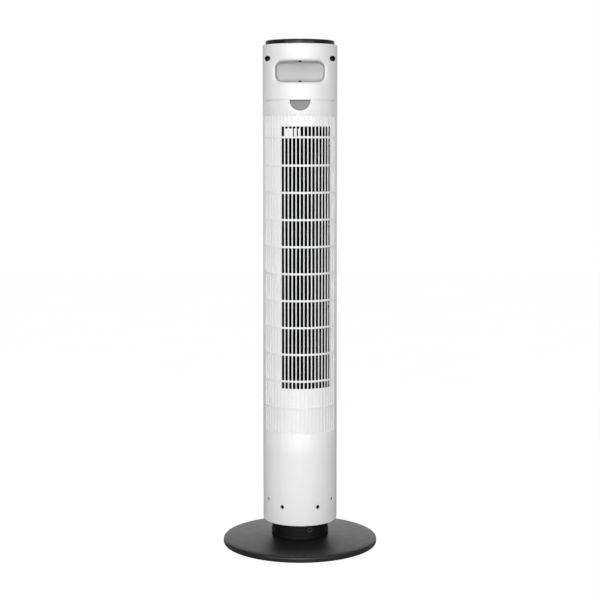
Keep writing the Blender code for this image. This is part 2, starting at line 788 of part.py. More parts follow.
def make_handle(tower, housing):
    """A pocket held behind the opening by two screws. Its front edge follows the tower's wall."""
    lift = Matrix.Translation((0, 0, HANDLE_HEIGHT))
    outer = rounded_block("handle_insert", HANDLE_HALF_WIDTH + 0.003, 0.0265, -0.080, HANDLE_BACK, 0.012)
    insert = add_part("handle_insert", outer, WHITE_ABS, tower, lift)
    core = turned_cutter("handle_trim", rod_loop(BODY_RADIUS - WALL - GAP, 0.920, 1.000), steps=60)
    trim(insert, core)
    hollow = rounded_block(
        "handle_pocket", HANDLE_HALF_WIDTH - GAP, HANDLE_HALF_RISE - GAP, -0.090, HANDLE_BACK - 0.002, 0.0097, 0.9
    )
    cut(insert, add_cutter("handle_pocket", hollow, lift))
    screws = [Matrix.Translation((0, 0, HANDLE_HEIGHT + side * HANDLE_SCREW_RISE)) @ outward(0) for side in (1, -1)]
    cut(insert, rods_cutter("handle_counterbores", screws, 0.0029, 0.0660, 0.0800))
    cut(insert, rods_cutter("handle_screw_holes", screws, 0.0016, 0.0560, 0.0670, 8))
    cut(housing, rods_cutter("handle_screw_notches", screws, 0.0029, 0.0660, 0.0800))
    for i, place in enumerate(screws):
        seat = place @ Matrix.Translation((0, 0, 0.0660 + GAP))
        turned(f"handle_screw_{i + 1}", STEEL, tower, screw_loop(0.0025, 0.0018, 0.0012, 0.0080), steps=8, matrix=seat)


def fan_polar(azimuth, radius):
    """A point in plan, counted from the fan wheel's axis."""
    direction = heading(azimuth)
    return (FAN_AXIS[0] + direction.x * radius, FAN_AXIS[1] + direction.y * radius)


def make_duct(tower):
    """The scroll wall and the vortex wall stand between a floor and a ceiling, round the fan wheel."""
    steps = 12
    spiral = [fan_polar(-48 - 102 * i / steps, 0.048 + 0.016 * i / steps) for i in range(steps + 1)]
    start, end = at(-32.5, DUCT_RADIUS), at(-147, DUCT_RADIUS)
    scroll = [(start.x, start.y)] + spiral + [(end.x, end.y)]
    start, end = at(56.5, DUCT_RADIUS), at(147, DUCT_RADIUS)
    nose = [fan_polar(80 + 45 * i / 4, 0.049) for i in range(5)]
    vortex = [(start.x, start.y)] + nose + [(end.x, end.y)]
    low = FLOOR_TOP + GAP
    high = CEILING_BOTTOM - GAP
    made = {}
    for name, points in (("scroll_wall", scroll), ("vortex_wall", vortex)):
        made[name] = add_part(name, wall_mesh(name, points, low, high), BLACK_ABS, tower)
        solidify = made[name].modifiers.new("thickness", "SOLIDIFY")
        solidify.thickness = DUCT_WALL
        solidify.offset = 0.0

    turn = Matrix.Rotation(math.radians(-90), 4, "X")
    places = [Matrix.Translation((BOSS_X, 0, BOSS_TOP_HEIGHT - i * BOSS_PITCH)) @ turn for i in range(BOSSES)]
    duct_core = turned_cutter("duct_core", rod_loop(DECK_RADIUS, 0.30, 0.90))
    bosses = rods_cutter("duct_bosses", places, 0.0068, -0.055, -0.014, 14)
    trim(bosses, duct_core)
    join(made["vortex_wall"], bosses)
    cut(made["vortex_wall"], rods_cutter("duct_boss_wells", places, 0.0050, -0.060, -0.0225, 12))
    cut(made["vortex_wall"], rods_cutter("duct_screw_holes", places, 0.0018, -0.030, -0.010, 8))
    flipped = Matrix.Rotation(math.pi, 4, "X")
    for i, place in enumerate(places):
        seat = place @ Matrix.Translation((0, 0, -0.0225 - GAP)) @ flipped
        turned(f"duct_screw_{i + 1}", STEEL, tower, screw_loop(0.0040, 0.0022, 0.0015, 0.0110), steps=8, matrix=seat)

    on_axis = Matrix.Translation((*FAN_AXIS, 0))
    floor = turned("duct_floor", BLACK_ABS, tower, rod_loop(DECK_RADIUS, FLOOR_TOP - DECK_THICKNESS, FLOOR_TOP))
    cut(floor, rods_cutter("duct_floor_hole", [on_axis], 0.012, 0.310, 0.330, 20))
    turned("duct_ceiling", BLACK_ABS, tower, rod_loop(DECK_RADIUS, CEILING_BOTTOM, CEILING_BOTTOM + DECK_THICKNESS))


def make_bearing(tower):
    on_axis = Matrix.Translation((*FAN_AXIS, 0))
    across = on_axis @ Matrix.Rotation(math.radians(BRACKET_AZIMUTH), 4, "Z")
    middle = (BRACKET_BOTTOM + BRACKET_TOP) / 2
    size = (BRACKET_WIDTH, 0.180, BRACKET_TOP - BRACKET_BOTTOM)
    shift = Matrix.Translation((-0.0045, 0, middle))
    mesh = boxes_mesh("bearing_bracket", [(size, across @ shift)])
    bracket = add_part("bearing_bracket", mesh, WHITE_ABS, tower)
    trim(bracket, turned_cutter("bracket_trim", rod_loop(DECK_RADIUS, 0.820, 0.848)))
    cut(bracket, bracket_clearance())
    join(bracket, rods_cutter("bracket_hub", [on_axis], 0.0140, BRACKET_BOTTOM, BRACKET_TOP, 24))
    cut(bracket, rods_cutter("bracket_bore", [on_axis], 0.0093, 0.820, 0.860, 20))
    bush = tube_loop(SHAFT_RADIUS + GAP, 0.0090, BRACKET_BOTTOM + 0.001, BRACKET_TOP - 0.001)
    turned("bearing_bush", BRONZE, tower, bush, steps=20, matrix=on_axis)


def bracket_clearance():
    """Room for the scroll and vortex walls, which pass the ends of the bracket."""
    rear = Matrix.Rotation(math.radians(180 + BRACKET_AZIMUTH), 4, "Z") @ Matrix.Translation((0, -0.064, 0.838))
    return add_cutter("bracket_clearance", boxes_mesh("bracket_clearance", [((0.09, 0.016, 0.03), rear)]))


def make_motor(tower, wheel):
    on_axis = Matrix.Translation((*FAN_AXIS, 0))
    turned(
        "fan_motor",
        PAINTED_STEEL,
        tower,
        [
            (SHAFT_RADIUS + GAP, MOTOR_TOP),
            (0.018, MOTOR_TOP),
            (0.018, MOTOR_TOP - 0.004),
            (MOTOR_RADIUS - 0.003, MOTOR_TOP - 0.004),
            (MOTOR_RADIUS, MOTOR_TOP - 0.008),
            (MOTOR_RADIUS, MOTOR_BOTTOM + 0.006),
            (MOTOR_RADIUS - 0.004, MOTOR_BOTTOM),
            (SHAFT_RADIUS + GAP, MOTOR_BOTTOM),
        ],
        steps=24,
        matrix=on_axis,
    )
    mount_top = FLOOR_TOP - DECK_THICKNESS - GAP
    mount = tube_loop(0.0183, 0.0300, MOTOR_TOP - 0.004 + GAP, mount_top)
    turned("motor_damper", RUBBER, tower, mount, steps=24, matrix=on_axis)
    turned("motor_shaft", STEEL, wheel, rod_loop(SHAFT_RADIUS, MOTOR_BOTTOM - 0.005, FAN_BOTTOM + 0.0006), steps=12)


def make_impeller(wheel):
    inner = 0.0360
    hub = 0.0090
    bore = SHAFT_RADIUS + GAP
    bottom_disc = [
        (0.0, FAN_BOTTOM + FAN_DISC),
        (FAN_RADIUS, FAN_BOTTOM + FAN_DISC),
        (FAN_RADIUS, FAN_BOTTOM),
        (hub, FAN_BOTTOM),
        (hub, FAN_BOTTOM - 0.007),
        (bore, FAN_BOTTOM - 0.007),
        (bore, FAN_BOTTOM + 0.0010),
        (0.0, FAN_BOTTOM + 0.0010),
    ]
    top_disc = [
        (0.0, FAN_TOP - 0.0010),
        (bore, FAN_TOP - 0.0010),
        (bore, FAN_TOP + 0.008),
        (hub, FAN_TOP + 0.008),
        (hub, FAN_TOP),
        (FAN_RADIUS, FAN_TOP),
        (FAN_RADIUS, FAN_TOP - FAN_DISC),
        (0.0, FAN_TOP - FAN_DISC),
    ]
    rings = []
    for i in range(FAN_RINGS):
        middle = FAN_BOTTOM + (i + 1) * FAN_RING_PITCH
        rings.append(tube_loop(inner, FAN_RADIUS, middle - FAN_DISC / 2, middle + FAN_DISC / 2))
    impeller = turned("impeller", BLACK_ABS, wheel, bottom_disc, top_disc, *rings, steps=24)

    height = FAN_TOP - FAN_BOTTOM - FAN_DISC
    tilt = Matrix.Rotation(math.radians(25), 4, "Z")
    middle = Matrix.Translation((0, -0.0400, (FAN_TOP + FAN_BOTTOM) / 2))
    placements = []
    for i in range(FAN_BLADES):
        turn = Matrix.Rotation(2 * math.pi * (i + 0.5) / FAN_BLADES, 4, "Z")
        placements.append(((0.0012, 0.0080, height), turn @ middle @ tilt))
    blades = add_cutter("impeller_blades", boxes_mesh("impeller_blades", placements))
    blades.parent = wheel
    blades.matrix_local = Matrix()
    join(impeller, blades)
    turned("bearing_shaft", STEEL, wheel, rod_loop(SHAFT_RADIUS, FAN_TOP - 0.0006, 0.8440), steps=12)


def make_boards(tower):
    thickness = BOARD_THICKNESS
    power = boxes_mesh("power_board", [((0.060, thickness, 0.070), Matrix.Translation((0, 0.040, 0.150)))])
    board = add_part("power_board", power, BOARD_GREEN, tower)
    blocks = [
        ((0.024, 0.018, 0.020), Matrix.Translation((-0.014, 0.0311, 0.165))),
        ((0.018, 0.012, 0.012), Matrix.Translation((0.015, 0.0341, 0.160))),
        ((0.030, 0.010, 0.008), Matrix.Translation((0, 0.0351, 0.122))),
    ]
    join(board, add_cutter("power_components", boxes_mesh("power_components", blocks)))

    display = boxes_mesh("display_board", [((0.038, thickness, 0.034), Matrix.Translation((0, 0.0640, 0.9575)))])
    board = add_part("display_board", display, BOARD_GREEN, tower)
    digits = boxes_mesh("display_digits", [((0.024, 0.0030, 0.014), Matrix.Translation((0, 0.0660, 0.9575)))])
    join(board, add_cutter("display_digits", digits))

    board_top = SWITCH_TOP - 0.0035
    board = turned("control_board", BOARD_GREEN, tower, rod_loop(0.0520, board_top - thickness, board_top), steps=24)
    size = (0.006, 0.006, 0.0040)
    switches = [(size, Matrix.Translation((x, BUTTON_Y, SWITCH_TOP - size[2] / 2))) for x in button_positions()]
    join(board, add_cutter("button_switches", boxes_mesh("button_switches", switches)))


def button_positions():
    return [(i - 1.5) * BUTTON_SPACING for i in range(4)]


def make_top(tower):
    plate_top = OVERALL_HEIGHT - 0.0008
    plate_bottom = plate_top - 0.0029
    groove = (TOP_BOTTOM + OVERALL_HEIGHT) / 2
    top = turned(
        "top_panel",
        GLOSS_BLACK,
        tower,
        [
            (0.0, plate_top),
            (0.0500, plate_top),
            (0.0520, OVERALL_HEIGHT),
            (TOP_RADIUS - 0.0034, OVERALL_HEIGHT),
            (TOP_RADIUS - 0.0010, OVERALL_HEIGHT - 0.0010),
            (TOP_RADIUS, OVERALL_HEIGHT - 0.0032),
            (TOP_RADIUS, groove + 0.0004),
            (TOP_RADIUS - 0.0006, groove),
            (TOP_RADIUS, groove - 0.0004),
            (TOP_RADIUS, TOP_BOTTOM),
            (0.0590, TOP_BOTTOM),
            (0.0590, plate_bottom),
            (0.0495, plate_bottom),
            (0.0495, TOP_BOTTOM),
            (0.0475, TOP_BOTTOM),
            (0.0475, plate_bottom),
            (0.0, plate_bottom),
        ],
        steps=36,
    )
    places = [Matrix.Translation((x, BUTTON_Y, 0)) for x in button_positions()]
    cut(top, rods_cutter("button_holes", places, BUTTON_RADIUS + 2 * GAP, 1.015, 1.030, 14))
    cap = [
        (0.0, plate_top + 0.0003),
        (BUTTON_RADIUS - 0.0012, plate_top + 0.0005),
        (BUTTON_RADIUS, plate_top - 0.0002),
        (BUTTON_RADIUS, plate_bottom - GAP),
        (BUTTON_RADIUS + 0.0013, plate_bottom - GAP),
        (BUTTON_RADIUS + 0.0013, plate_bottom - 0.0018),
        (0.0020, plate_bottom - 0.0018),
        (0.0020, SWITCH_TOP + BUTTON_TRAVEL + 0.0002),
        (0.0, SWITCH_TOP + BUTTON_TRAVEL + 0.0002),
    ]
    for i, place in enumerate(places):
        turned(f"button_{i + 1}", BUTTON_GREY, tower, cap, steps=12, matrix=place)


def make_display_lens(tower):
    outline = band(0.0727, 0.0748, LENS_BOTTOM, LENS_TOP)
    mesh = sector_mesh("display_lens", outline, 180 - LENS_HALF_ANGLE, 180 + LENS_HALF_ANGLE, 8)
    add_part("display_lens", mesh, GLOSS_BLACK, tower)


def make_fan():
    frame = empty("base_frame")
    tower = empty("tower_pivot", parent=frame)
    wheel = empty("impeller_axis", (*FAN_AXIS, 0.0), tower)
    body_core = turned_cutter("body_core", rod_loop(BODY_RADIUS - 0.001, 0.90, 1.005))
    cover = make_base(frame)
    make_neck(frame, cover)
    chassis = make_chassis(tower)
    make_swivel_drive(tower)
    housing = make_rear_housing(tower, chassis, body_core)
    make_front_housing(tower, body_core)
    make_housing_screws(tower)
    make_rear_grille(tower)
    make_outlet_grille(tower)
    make_handle(tower, housing)
    make_duct(tower)
    make_bearing(tower)
    make_motor(tower, wheel)
    make_impeller(wheel)
    make_boards(tower)
    make_top(tower)
    make_display_lens(tower)


make_fan()
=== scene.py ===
"""Looks of the tower fan: fine shells, grilles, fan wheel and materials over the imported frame.

Metres, +Z up, in the frame's own coordinates. The intake side faces -Y. An azimuth is counted in
degrees from -Y towards +X, so 90 is the +X side and 180 the outlet.
"""

import math

import bmesh
import bpy
from mathutils import Matrix, Vector


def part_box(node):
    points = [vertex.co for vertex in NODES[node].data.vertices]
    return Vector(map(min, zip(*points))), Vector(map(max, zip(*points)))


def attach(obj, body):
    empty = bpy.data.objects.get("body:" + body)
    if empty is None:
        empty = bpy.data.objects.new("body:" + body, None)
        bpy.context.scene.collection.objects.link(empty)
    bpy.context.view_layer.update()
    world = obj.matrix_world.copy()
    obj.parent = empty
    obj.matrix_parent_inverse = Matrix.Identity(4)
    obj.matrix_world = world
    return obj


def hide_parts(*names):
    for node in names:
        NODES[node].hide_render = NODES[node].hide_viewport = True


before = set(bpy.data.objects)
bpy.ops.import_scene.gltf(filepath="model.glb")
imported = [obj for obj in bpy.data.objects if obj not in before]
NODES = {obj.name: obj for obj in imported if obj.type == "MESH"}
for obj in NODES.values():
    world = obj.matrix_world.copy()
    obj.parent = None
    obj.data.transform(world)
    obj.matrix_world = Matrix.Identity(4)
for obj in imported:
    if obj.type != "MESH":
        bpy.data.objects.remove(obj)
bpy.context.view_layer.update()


def low(node):
    return Vector(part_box(node)[0])


def high(node):
    return Vector(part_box(node)[1])


# Places that the frame gives
BODY_RADIUS = high("front_housing").y
BODY_BOTTOM = low("rear_housing").z
BODY_TOP = high("rear_housing").z
PANEL_BOTTOM = low("rear_grille").z
PANEL_TOP = high("rear_grille").z
PANEL_HALF_ANGLE = math.degrees(math.asin(high("rear_grille").x / BODY_RADIUS))
OUTLET_BOTTOM = low("outlet_grille").z
OUTLET_TOP = high("outlet_grille").z
OUTLET_HALF_ANGLE = math.degrees(math.asin(high("outlet_grille").x / BODY_RADIUS))
BASE_RADIUS = high("base_cover").x
BASE_TOP = high("base_cover").z
NECK_TOP = high("neck").z
HANDLE_HEIGHT = (low("handle_insert").z + high("handle_insert").z) / 2
TOP_RADIUS = high("top_panel").x
TOP_HEIGHT = high("top_panel").z
FAN_LOW = low("impeller")
FAN_HIGH = high("impeller")
FAN_AXIS = ((FAN_LOW.x + FAN_HIGH.x) / 2, (FAN_LOW.y + FAN_HIGH.y) / 2)
FAN_RADIUS = (FAN_HIGH.x - FAN_LOW.x) / 2

# Light
ROOM_LIGHT = 0.48
FLOOR_LIGHT = 0.32
FLOOR_SEEN = 0.94
KEY_LIGHT = (-4, 3.4, 2.0, 0.35, (1.8, 1.8), 44.0)
LOW_LIGHT = (-3, 3.4, 0.45, 0.35, (1.2, 0.8), 38.0)
SHEEN_CENTRE = 95.0
SHEEN_SIDE = 64.0
BACK_GLOW = 13.0

# Sizes of the fine detail
WALL = 0.0025
SEAM = 0.0012
CLOSE_SEAM = 0.00012
SLOT_PITCH = 6.0
SLOT_HALF_WIDTH = 0.0028
EDGE_ROUND = 0.0002
GROOVE_DEPTH = 0.0011
PANEL_THICKNESS = 0.0024
RIB_THICKNESS = 0.0010
BAR_HEIGHT = 0.004
BAR_PITCH = 0.0537
BAR_TOP_CENTRE = 0.8285
TOP_BAR_LIFT = 0.0018
WINDOW_BOTTOM = 0.3305
WINDOW_TOP = 0.8515
PANEL_CORNER = 0.008
RIBS_BOTTOM = 0.239
RIBS_TOP = 0.8725
REAR_WINDOW = (-30.0, 54.0)
REAR_GROOVES = 22
OUTLET_GROOVES = 12
OUTLET_WINDOW = (-30.0, 30.0)
NOTCH_RADIUS = 0.0205
NOTCH_FLOOR_RADIUS = 0.066
GRILLE_SCREW_HEIGHT = 0.8625
LIP_OUTER = (0.0590, 0.0262, 0.0160)
LIP_INNER = (0.0490, 0.0210, 0.0140)
LIP_DEPTH = 0.0042
LIP_STEP = 0.0004
HANDLE_SHADE_RADIUS = 0.0033
POCKET_BACK = (0.0440, 0.0148, 0.0095)
POCKET_BACK_Y = -0.036
UPPER_WELL = (0.064, 0.9856, 0.00525)
LOWER_WELLS = ((59.0, 0.099), (28.7, 0.089))
LOWER_WELL_RADIUS = 0.0042
BOSS_X = 0.0605
# Radii of the dark sheets that paint shade just inside the outlet
SHADE_SHEET_RADII = (0.0645, 0.0662)
BOSS_TOP_HEIGHT = 0.8186
BRACKET_COVERS = ((-24.5, -11.0), (-9.3, -4.9), (-3.0, -1.2))


def heading(azimuth):
    turn = math.radians(azimuth)
    return Vector((math.sin(turn), -math.cos(turn), 0.0))


def at(azimuth, radius, height=0.0):
    return heading(azimuth) * radius + Vector((0.0, 0.0, height))


def outward(azimuth):
    """Rotation that lays a shape's +Z along the outward direction at this azimuth."""
    return Matrix.Rotation(math.radians(azimuth), 4, "Z") @ Matrix.Rotation(math.radians(90), 4, "X")


# ---------------------------------------------------------------- materials


class Shader:
    """A Principled material whose colour, roughness and bump come from procedural textures."""

    def __init__(self, name, **uniform):
        self.material = bpy.data.materials.new(name)
        self.material.use_nodes = True
        self.tree = self.material.node_tree
        self.principled = self.tree.nodes["Principled BSDF"]
        self.place = self.tree.nodes.new("ShaderNodeTexCoord").outputs["Object"]
        for socket, value in uniform.items():
            self.principled.inputs[socket.replace("_", " ")].default_value = value

    def noise(self, scale, detail=3.0, stretch=(1, 1, 1)):
        mapping = self.tree.nodes.new("ShaderNodeMapping")
        mapping.inputs["Scale"].default_value = stretch
        self.tree.links.new(self.place, mapping.inputs["Vector"])
        node = self.tree.nodes.new("ShaderNodeTexNoise")
        node.inputs["Scale"].default_value = scale
        node.inputs["Detail"].default_value = detail
        self.tree.links.new(mapping.outputs["Vector"], node.inputs["Vector"])
        return node.outputs["Fac"]

    def cells(self, scale):
        node = self.tree.nodes.new("ShaderNodeTexVoronoi")
        node.inputs["Scale"].default_value = scale
        self.tree.links.new(self.place, node.inputs["Vector"])
        return node.outputs["Distance"]

    def ramp(self, source, first, last, start=0.3, end=0.7):
        node = self.tree.nodes.new("ShaderNodeValToRGB")
        node.color_ramp.elements[0].position = start
        node.color_ramp.elements[1].position = end
        node.color_ramp.elements[0].color = (*first, 1.0)
        node.color_ramp.elements[1].color = (*last, 1.0)
        self.tree.links.new(source, node.inputs["Fac"])
        return node.outputs["Color"]

    def colour(self, source, first, last, start=0.3, end=0.7):
        self.tree.links.new(self.ramp(source, first, last, start, end), self.principled.inputs["Base Color"])

    def roughness(self, source, least, most):
        node = self.tree.nodes.new("ShaderNodeMapRange")
        node.inputs["To Min"].default_value = least
        node.inputs["To Max"].default_value = most
        self.tree.links.new(source, node.inputs["Value"])
        self.tree.links.new(node.outputs["Result"], self.principled.inputs["Roughness"])

    def bump(self, source, height, strength=1.0):
        node = self.tree.nodes.new("ShaderNodeBump")
        node.inputs["Strength"].default_value = strength
        node.inputs["Distance"].default_value = height
        self.tree.links.new(source, node.inputs["Height"])
        self.tree.links.new(node.outputs["Normal"], self.principled.inputs["Normal"])


def moulded(name, dark, light, rough, grain_scale, grain_height, specular=0.5):
    """Moulded plastic: a faint flow mottle in the colour, uneven gloss and a fine spark-eroded grain."""
    made = Shader(name, Specular_IOR_Level=specular)
    made.colour(made.noise(9.0, 2.0, (1, 1, 0.3)), dark, light)
    made.roughness(made.noise(60.0, 4.0), *rough)
    made.bump(made.noise(grain_scale, 2.0), grain_height, 0.5)
    return made.material


def white_plastic():
    return moulded("white_plastic", (0.785, 0.785, 0.788), (0.80, 0.80, 0.80), (0.40, 0.50), 2200.0, 0.00002)


def black_satin():
    dark = (0.006, 0.006, 0.0065)
    light = (0.009, 0.009, 0.0095)
    return moulded("black_satin", dark, light, (0.36, 0.46), 1600.0, 0.00004, 0.28)


def black_matt():
    dark = (0.003, 0.003, 0.0032)
    light = (0.0045, 0.0045, 0.0047)
    return moulded("black_matt", dark, light, (0.5, 0.62), 1600.0, 0.00005, 0.1)


def black_gloss():
    dark = (0.008, 0.008, 0.009)
    light = (0.011, 0.011, 0.012)
    return moulded("black_gloss", dark, light, (0.26, 0.34), 900.0, 0.00001, 0.2)


# Near black: the own colour of the black duct walls, fan blades and other inner parts, and painted shade
# where it lines the screw wells and makes the sheets just inside the outlet.
def black_inner_and_painted_shade():
    dark = (0.003, 0.003, 0.003)
    light = (0.005, 0.005, 0.005)
    return moulded("black_inner_and_painted_shade", dark, light, (0.6, 0.75), 1400.0, 0.00004, 0.1)


def rubber():
    return moulded("rubber", (0.018, 0.018, 0.018), (0.026, 0.026, 0.026), (0.75, 0.9), 1100.0, 0.00008, 0.3)


def acetal():
    return moulded("acetal", (0.72, 0.72, 0.66), (0.80, 0.80, 0.75), (0.30, 0.42), 900.0, 0.00002)


def key_grey():
    return moulded("key_grey", (0.24, 0.24, 0.25), (0.28, 0.28, 0.29), (0.28, 0.38), 1500.0, 0.00002)


# Grained white plastic with a rougher finish; its colour is darkened well below the other white as painted
# shade of the hand recess.
def textured_white_with_painted_shade():
    dark = (0.53, 0.53, 0.532)
    light = (0.56, 0.56, 0.56)
    return moulded("textured_white_with_painted_shade", dark, light, (0.6, 0.7), 1300.0, 0.00006, 0.12)


# Grey that paints shade: the finger notch's recess is white plastic, darkened here to stand for its shadow.
def painted_shade_grey():
    return moulded("painted_shade_grey", (0.26, 0.26, 0.265), (0.30, 0.30, 0.30), (0.5, 0.6), 1500.0, 0.00003, 0.15)


def lens_tint():
    return moulded("lens_tint", (0.006, 0.006, 0.008), (0.010, 0.010, 0.012), (0.06, 0.12), 500.0, 0.000004)


def zinc_steel():
    made = Shader("zinc_steel", Metallic=1.0)
    made.colour(made.noise(400.0, 3.0), (0.48, 0.48, 0.47), (0.66, 0.66, 0.65))
    made.roughness(made.noise(900.0, 3.0), 0.24, 0.42)
    made.bump(made.noise(2500.0, 2.0), 0.00002, 0.4)
    return made.material


def dark_steel():
    """Steel with a black oxide finish."""
    made = Shader("dark_steel", Metallic=0.6)
    made.colour(made.noise(400.0, 3.0), (0.010, 0.010, 0.010), (0.018, 0.018, 0.018))
    made.roughness(made.noise(900.0, 3.0), 0.40, 0.55)
    return made.material


def brushed_shaft():
    made = Shader("brushed_shaft", Metallic=1.0)
    made.colour(made.noise(300.0, 3.0, (1, 1, 8)), (0.45, 0.45, 0.46), (0.60, 0.60, 0.61))
    made.roughness(made.noise(500.0, 3.0, (1, 1, 8)), 0.18, 0.34)
    return made.material


def painted_steel():
    made = Shader("painted_steel", Metallic=0.2)
    made.colour(made.noise(120.0, 4.0), (0.018, 0.018, 0.018), (0.030, 0.030, 0.031))
    made.roughness(made.noise(300.0, 3.0), 0.45, 0.62)
    made.bump(made.cells(900.0), 0.00006, 0.5)
    return made.material


def motor_metal():
    made = Shader("motor_metal", Metallic=0.9)
    made.colour(made.noise(150.0, 4.0), (0.20, 0.20, 0.21), (0.34, 0.34, 0.35))
    made.roughness(made.noise(260.0, 4.0), 0.35, 0.55)
    made.bump(made.noise(900.0, 3.0), 0.00004, 0.5)
    return made.material


def bronze():
    made = Shader("sintered_bronze", Metallic=1.0)
    made.colour(made.cells(2200.0), (0.34, 0.20, 0.08), (0.50, 0.33, 0.15), 0.1, 0.8)
    made.roughness(made.noise(900.0, 3.0), 0.4, 0.6)
    return made.material


def circuit_board():
    made = Shader("circuit_board", Specular_IOR_Level=0.5)
    made.colour(made.cells(420.0), (0.012, 0.10, 0.035), (0.03, 0.20, 0.08), 0.2, 0.5)
    made.roughness(made.noise(500.0, 3.0), 0.3, 0.45)
    made.bump(made.cells(420.0), 0.00006, 0.6)
    return made.material


MATERIALS = {
    maker.__name__: maker()
    for maker in (
        white_plastic,
        textured_white_with_painted_shade,
        black_satin,
        black_matt,
        black_gloss,
        black_inner_and_painted_shade,
        rubber,
        acetal,
        key_grey,
        painted_shade_grey,
        lens_tint,
        zinc_steel,
        dark_steel,
        brushed_shaft,
        painted_steel,
        motor_metal,
        bronze,
        circuit_board,
    )
}

# ---------------------------------------------------------------- mesh helpers


def finished_mesh(name, bm, angle=32.0):
    bmesh.ops.recalc_face_normals(bm, faces=bm.faces)
    mesh = bpy.data.meshes.new(name)
    bm.to_mesh(mesh)
    bm.free()
    mesh.shade_smooth()
    mesh.set_sharp_from_angle(angle=math.radians(angle))
    return mesh


def add_piece(name, mesh, finish, body, *nodes):
    """Shows a piece that rides on a body and, where nodes are given, stands for them."""
    piece = bpy.data.objects.new(name, mesh)
    bpy.context.scene.collection.objects.link(piece)
    mesh.materials.clear()
    mesh.materials.append(MATERIALS[finish])
    if nodes:
        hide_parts(*nodes)
    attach(piece, body)
    return piece


def boolean_mesh(name, mesh, steps, angle=32.0):
    """The mesh after a list of (operation, tool mesh) steps."""
    scene = bpy.context.scene
    target = bpy.data.objects.new(name, mesh)
    scene.collection.objects.link(target)
    tools = []
    for i, (operation, tool_mesh) in enumerate(steps):
        tool = bpy.data.objects.new(f"{name}_tool_{i}", tool_mesh)
        scene.collection.objects.link(tool)
        modifier = target.modifiers.new(f"step_{i}", "BOOLEAN")
        modifier.operation = operation
        modifier.solver = "EXACT"
        modifier.object = tool
        tools.append(tool)
    bpy.context.view_layer.update()
    evaluated = target.evaluated_get(bpy.context.evaluated_depsgraph_get())
    made = bpy.data.meshes.new_from_object(evaluated)
    for used in (target, *tools):
        bpy.data.objects.remove(used)
    if not made.polygons:
        raise RuntimeError(f"{name} was lost in its Boolean")
    made.shade_smooth()
    made.set_sharp_from_angle(angle=math.radians(angle))
    return made


def lathe(name, outline, steps=128, matrix=Matrix(), angle=32.0, closed=False):
    """An outline of (radius, height), turned once round Z. It runs from top to bottom on the outside."""
    bm = bmesh.new()
    rows = []
    for radius, height in outline:
        if radius < 1e-7:
            rows.append([bm.verts.new(matrix @ Vector((0, 0, height)))] * steps)
            continue
        turns = (2 * math.pi * i / steps for i in range(steps))
        ring = [Vector((radius * math.cos(turn), radius * math.sin(turn), height)) for turn in turns]
        rows.append([bm.verts.new(matrix @ corner) for corner in ring])
    pairs = list(zip(rows, rows[1:]))
    if closed:
        pairs.append((rows[-1], rows[0]))
    for upper, lower in pairs:
        for i in range(steps):
            j = (i + 1) % steps
            corners = dict.fromkeys((upper[i], upper[j], lower[j], lower[i]))
            if len(corners) > 2:
                bm.faces.new(corners)
    return finished_mesh(name, bm, angle)


def rounded(points, radius, steps=4):
    """An outline whose corners marked with True are rounded to this radius."""
    made = []
    for i, (x, y, soft) in enumerate(points):
        corner = Vector((x, y))
        if not soft:
            made.append((x, y))
            continue
        before = Vector(points[i - 1][:2])
        after = Vector(points[(i + 1) % len(points)][:2])
        enter = corner + (before - corner).normalized() * min(radius, (before - corner).length / 2)
        leave = corner + (after - corner).normalized() * min(radius, (after - corner).length / 2)
        for step in range(steps + 1):
            t = step / steps
            point = enter * (1 - t) ** 2 + corner * 2 * t * (1 - t) + leave * t**2
            made.append((point.x, point.y))
    return made


def sector(name, outline, start, end, step=1.5):
    """A closed outline of (radius, height) swept round Z from one azimuth to the other."""
    bm = bmesh.new()
    direction = heading(start)
    bm.faces.new([bm.verts.new(direction * radius + Vector((0, 0, height))) for radius, height in outline])
    bmesh.ops.spin(
        bm,
        geom=bm.verts[:] + bm.edges[:] + bm.faces[:],
        cent=(0, 0, 0),
        axis=(0, 0, 1),
        angle=math.radians(end - start),
        steps=max(1, round((end - start) / step)),
        use_duplicate=False,
    )
    return finished_mesh(name, bm)


def band(inner, outer, bottom, top):
    return [(inner, bottom), (outer, bottom), (outer, top), (inner, top)]


def rods(name, placements, radius, bottom, top, segments=40):
    bm = bmesh.new()
    for matrix in placements:
        bmesh.ops.create_cone(
            bm,
            cap_ends=True,
            segments=segments,
            radius1=radius,
            radius2=radius,
            depth=top - bottom,
            matrix=matrix @ Matrix.Translation((0, 0, (bottom + top) / 2)),
        )
    return finished_mesh(name, bm)


def box_mesh(name, size, location):
    bm = bmesh.new()
    bmesh.ops.create_cube(bm, size=1.0, matrix=Matrix.Translation(location) @ Matrix.Diagonal((*size, 1.0)))
    return finished_mesh(name, bm)


def rounded_loop(half_width, half_height, corner, per_corner=10, per_side=10):
    """Points (x, z) round a rounded rectangle, the same number whatever its size."""
    points = []
    centres = ((1, 1, 0), (-1, 1, 90), (-1, -1, 180), (1, -1, 270))
    for side_x, side_z, first in centres:
        centre = Vector((side_x * (half_width - corner), side_z * (half_height - corner)))
        for i in range(per_corner + 1):
            turn = math.radians(first + 90 * i / per_corner)
            points.append(centre + corner * Vector((math.cos(turn), math.sin(turn))))
    made = []
    for i, point in enumerate(points):
        made.append(point)
        following = points[(i + 1) % len(points)]
        if i % (per_corner + 1) == per_corner:
            made.extend(point.lerp(following, k / per_side) for k in range(1, per_side))
    return made


def loft(name, loops, cap=False, angle=40.0):
    """A skin through loops of 3-D points, with an optional face over the last one."""
    bm = bmesh.new()
    rows = [[bm.verts.new(point) for point in loop] for loop in loops]
    for first, second in zip(rows, rows[1:]):
        for i in range(len(first)):
            j = (i + 1) % len(first)
            bm.faces.new((first[i], first[j], second[j], second[i]))
    if cap:
        bm.faces.new(rows[-1])
    return finished_mesh(name, bm, angle)


# ---------------------------------------------------------------- ribbed panels


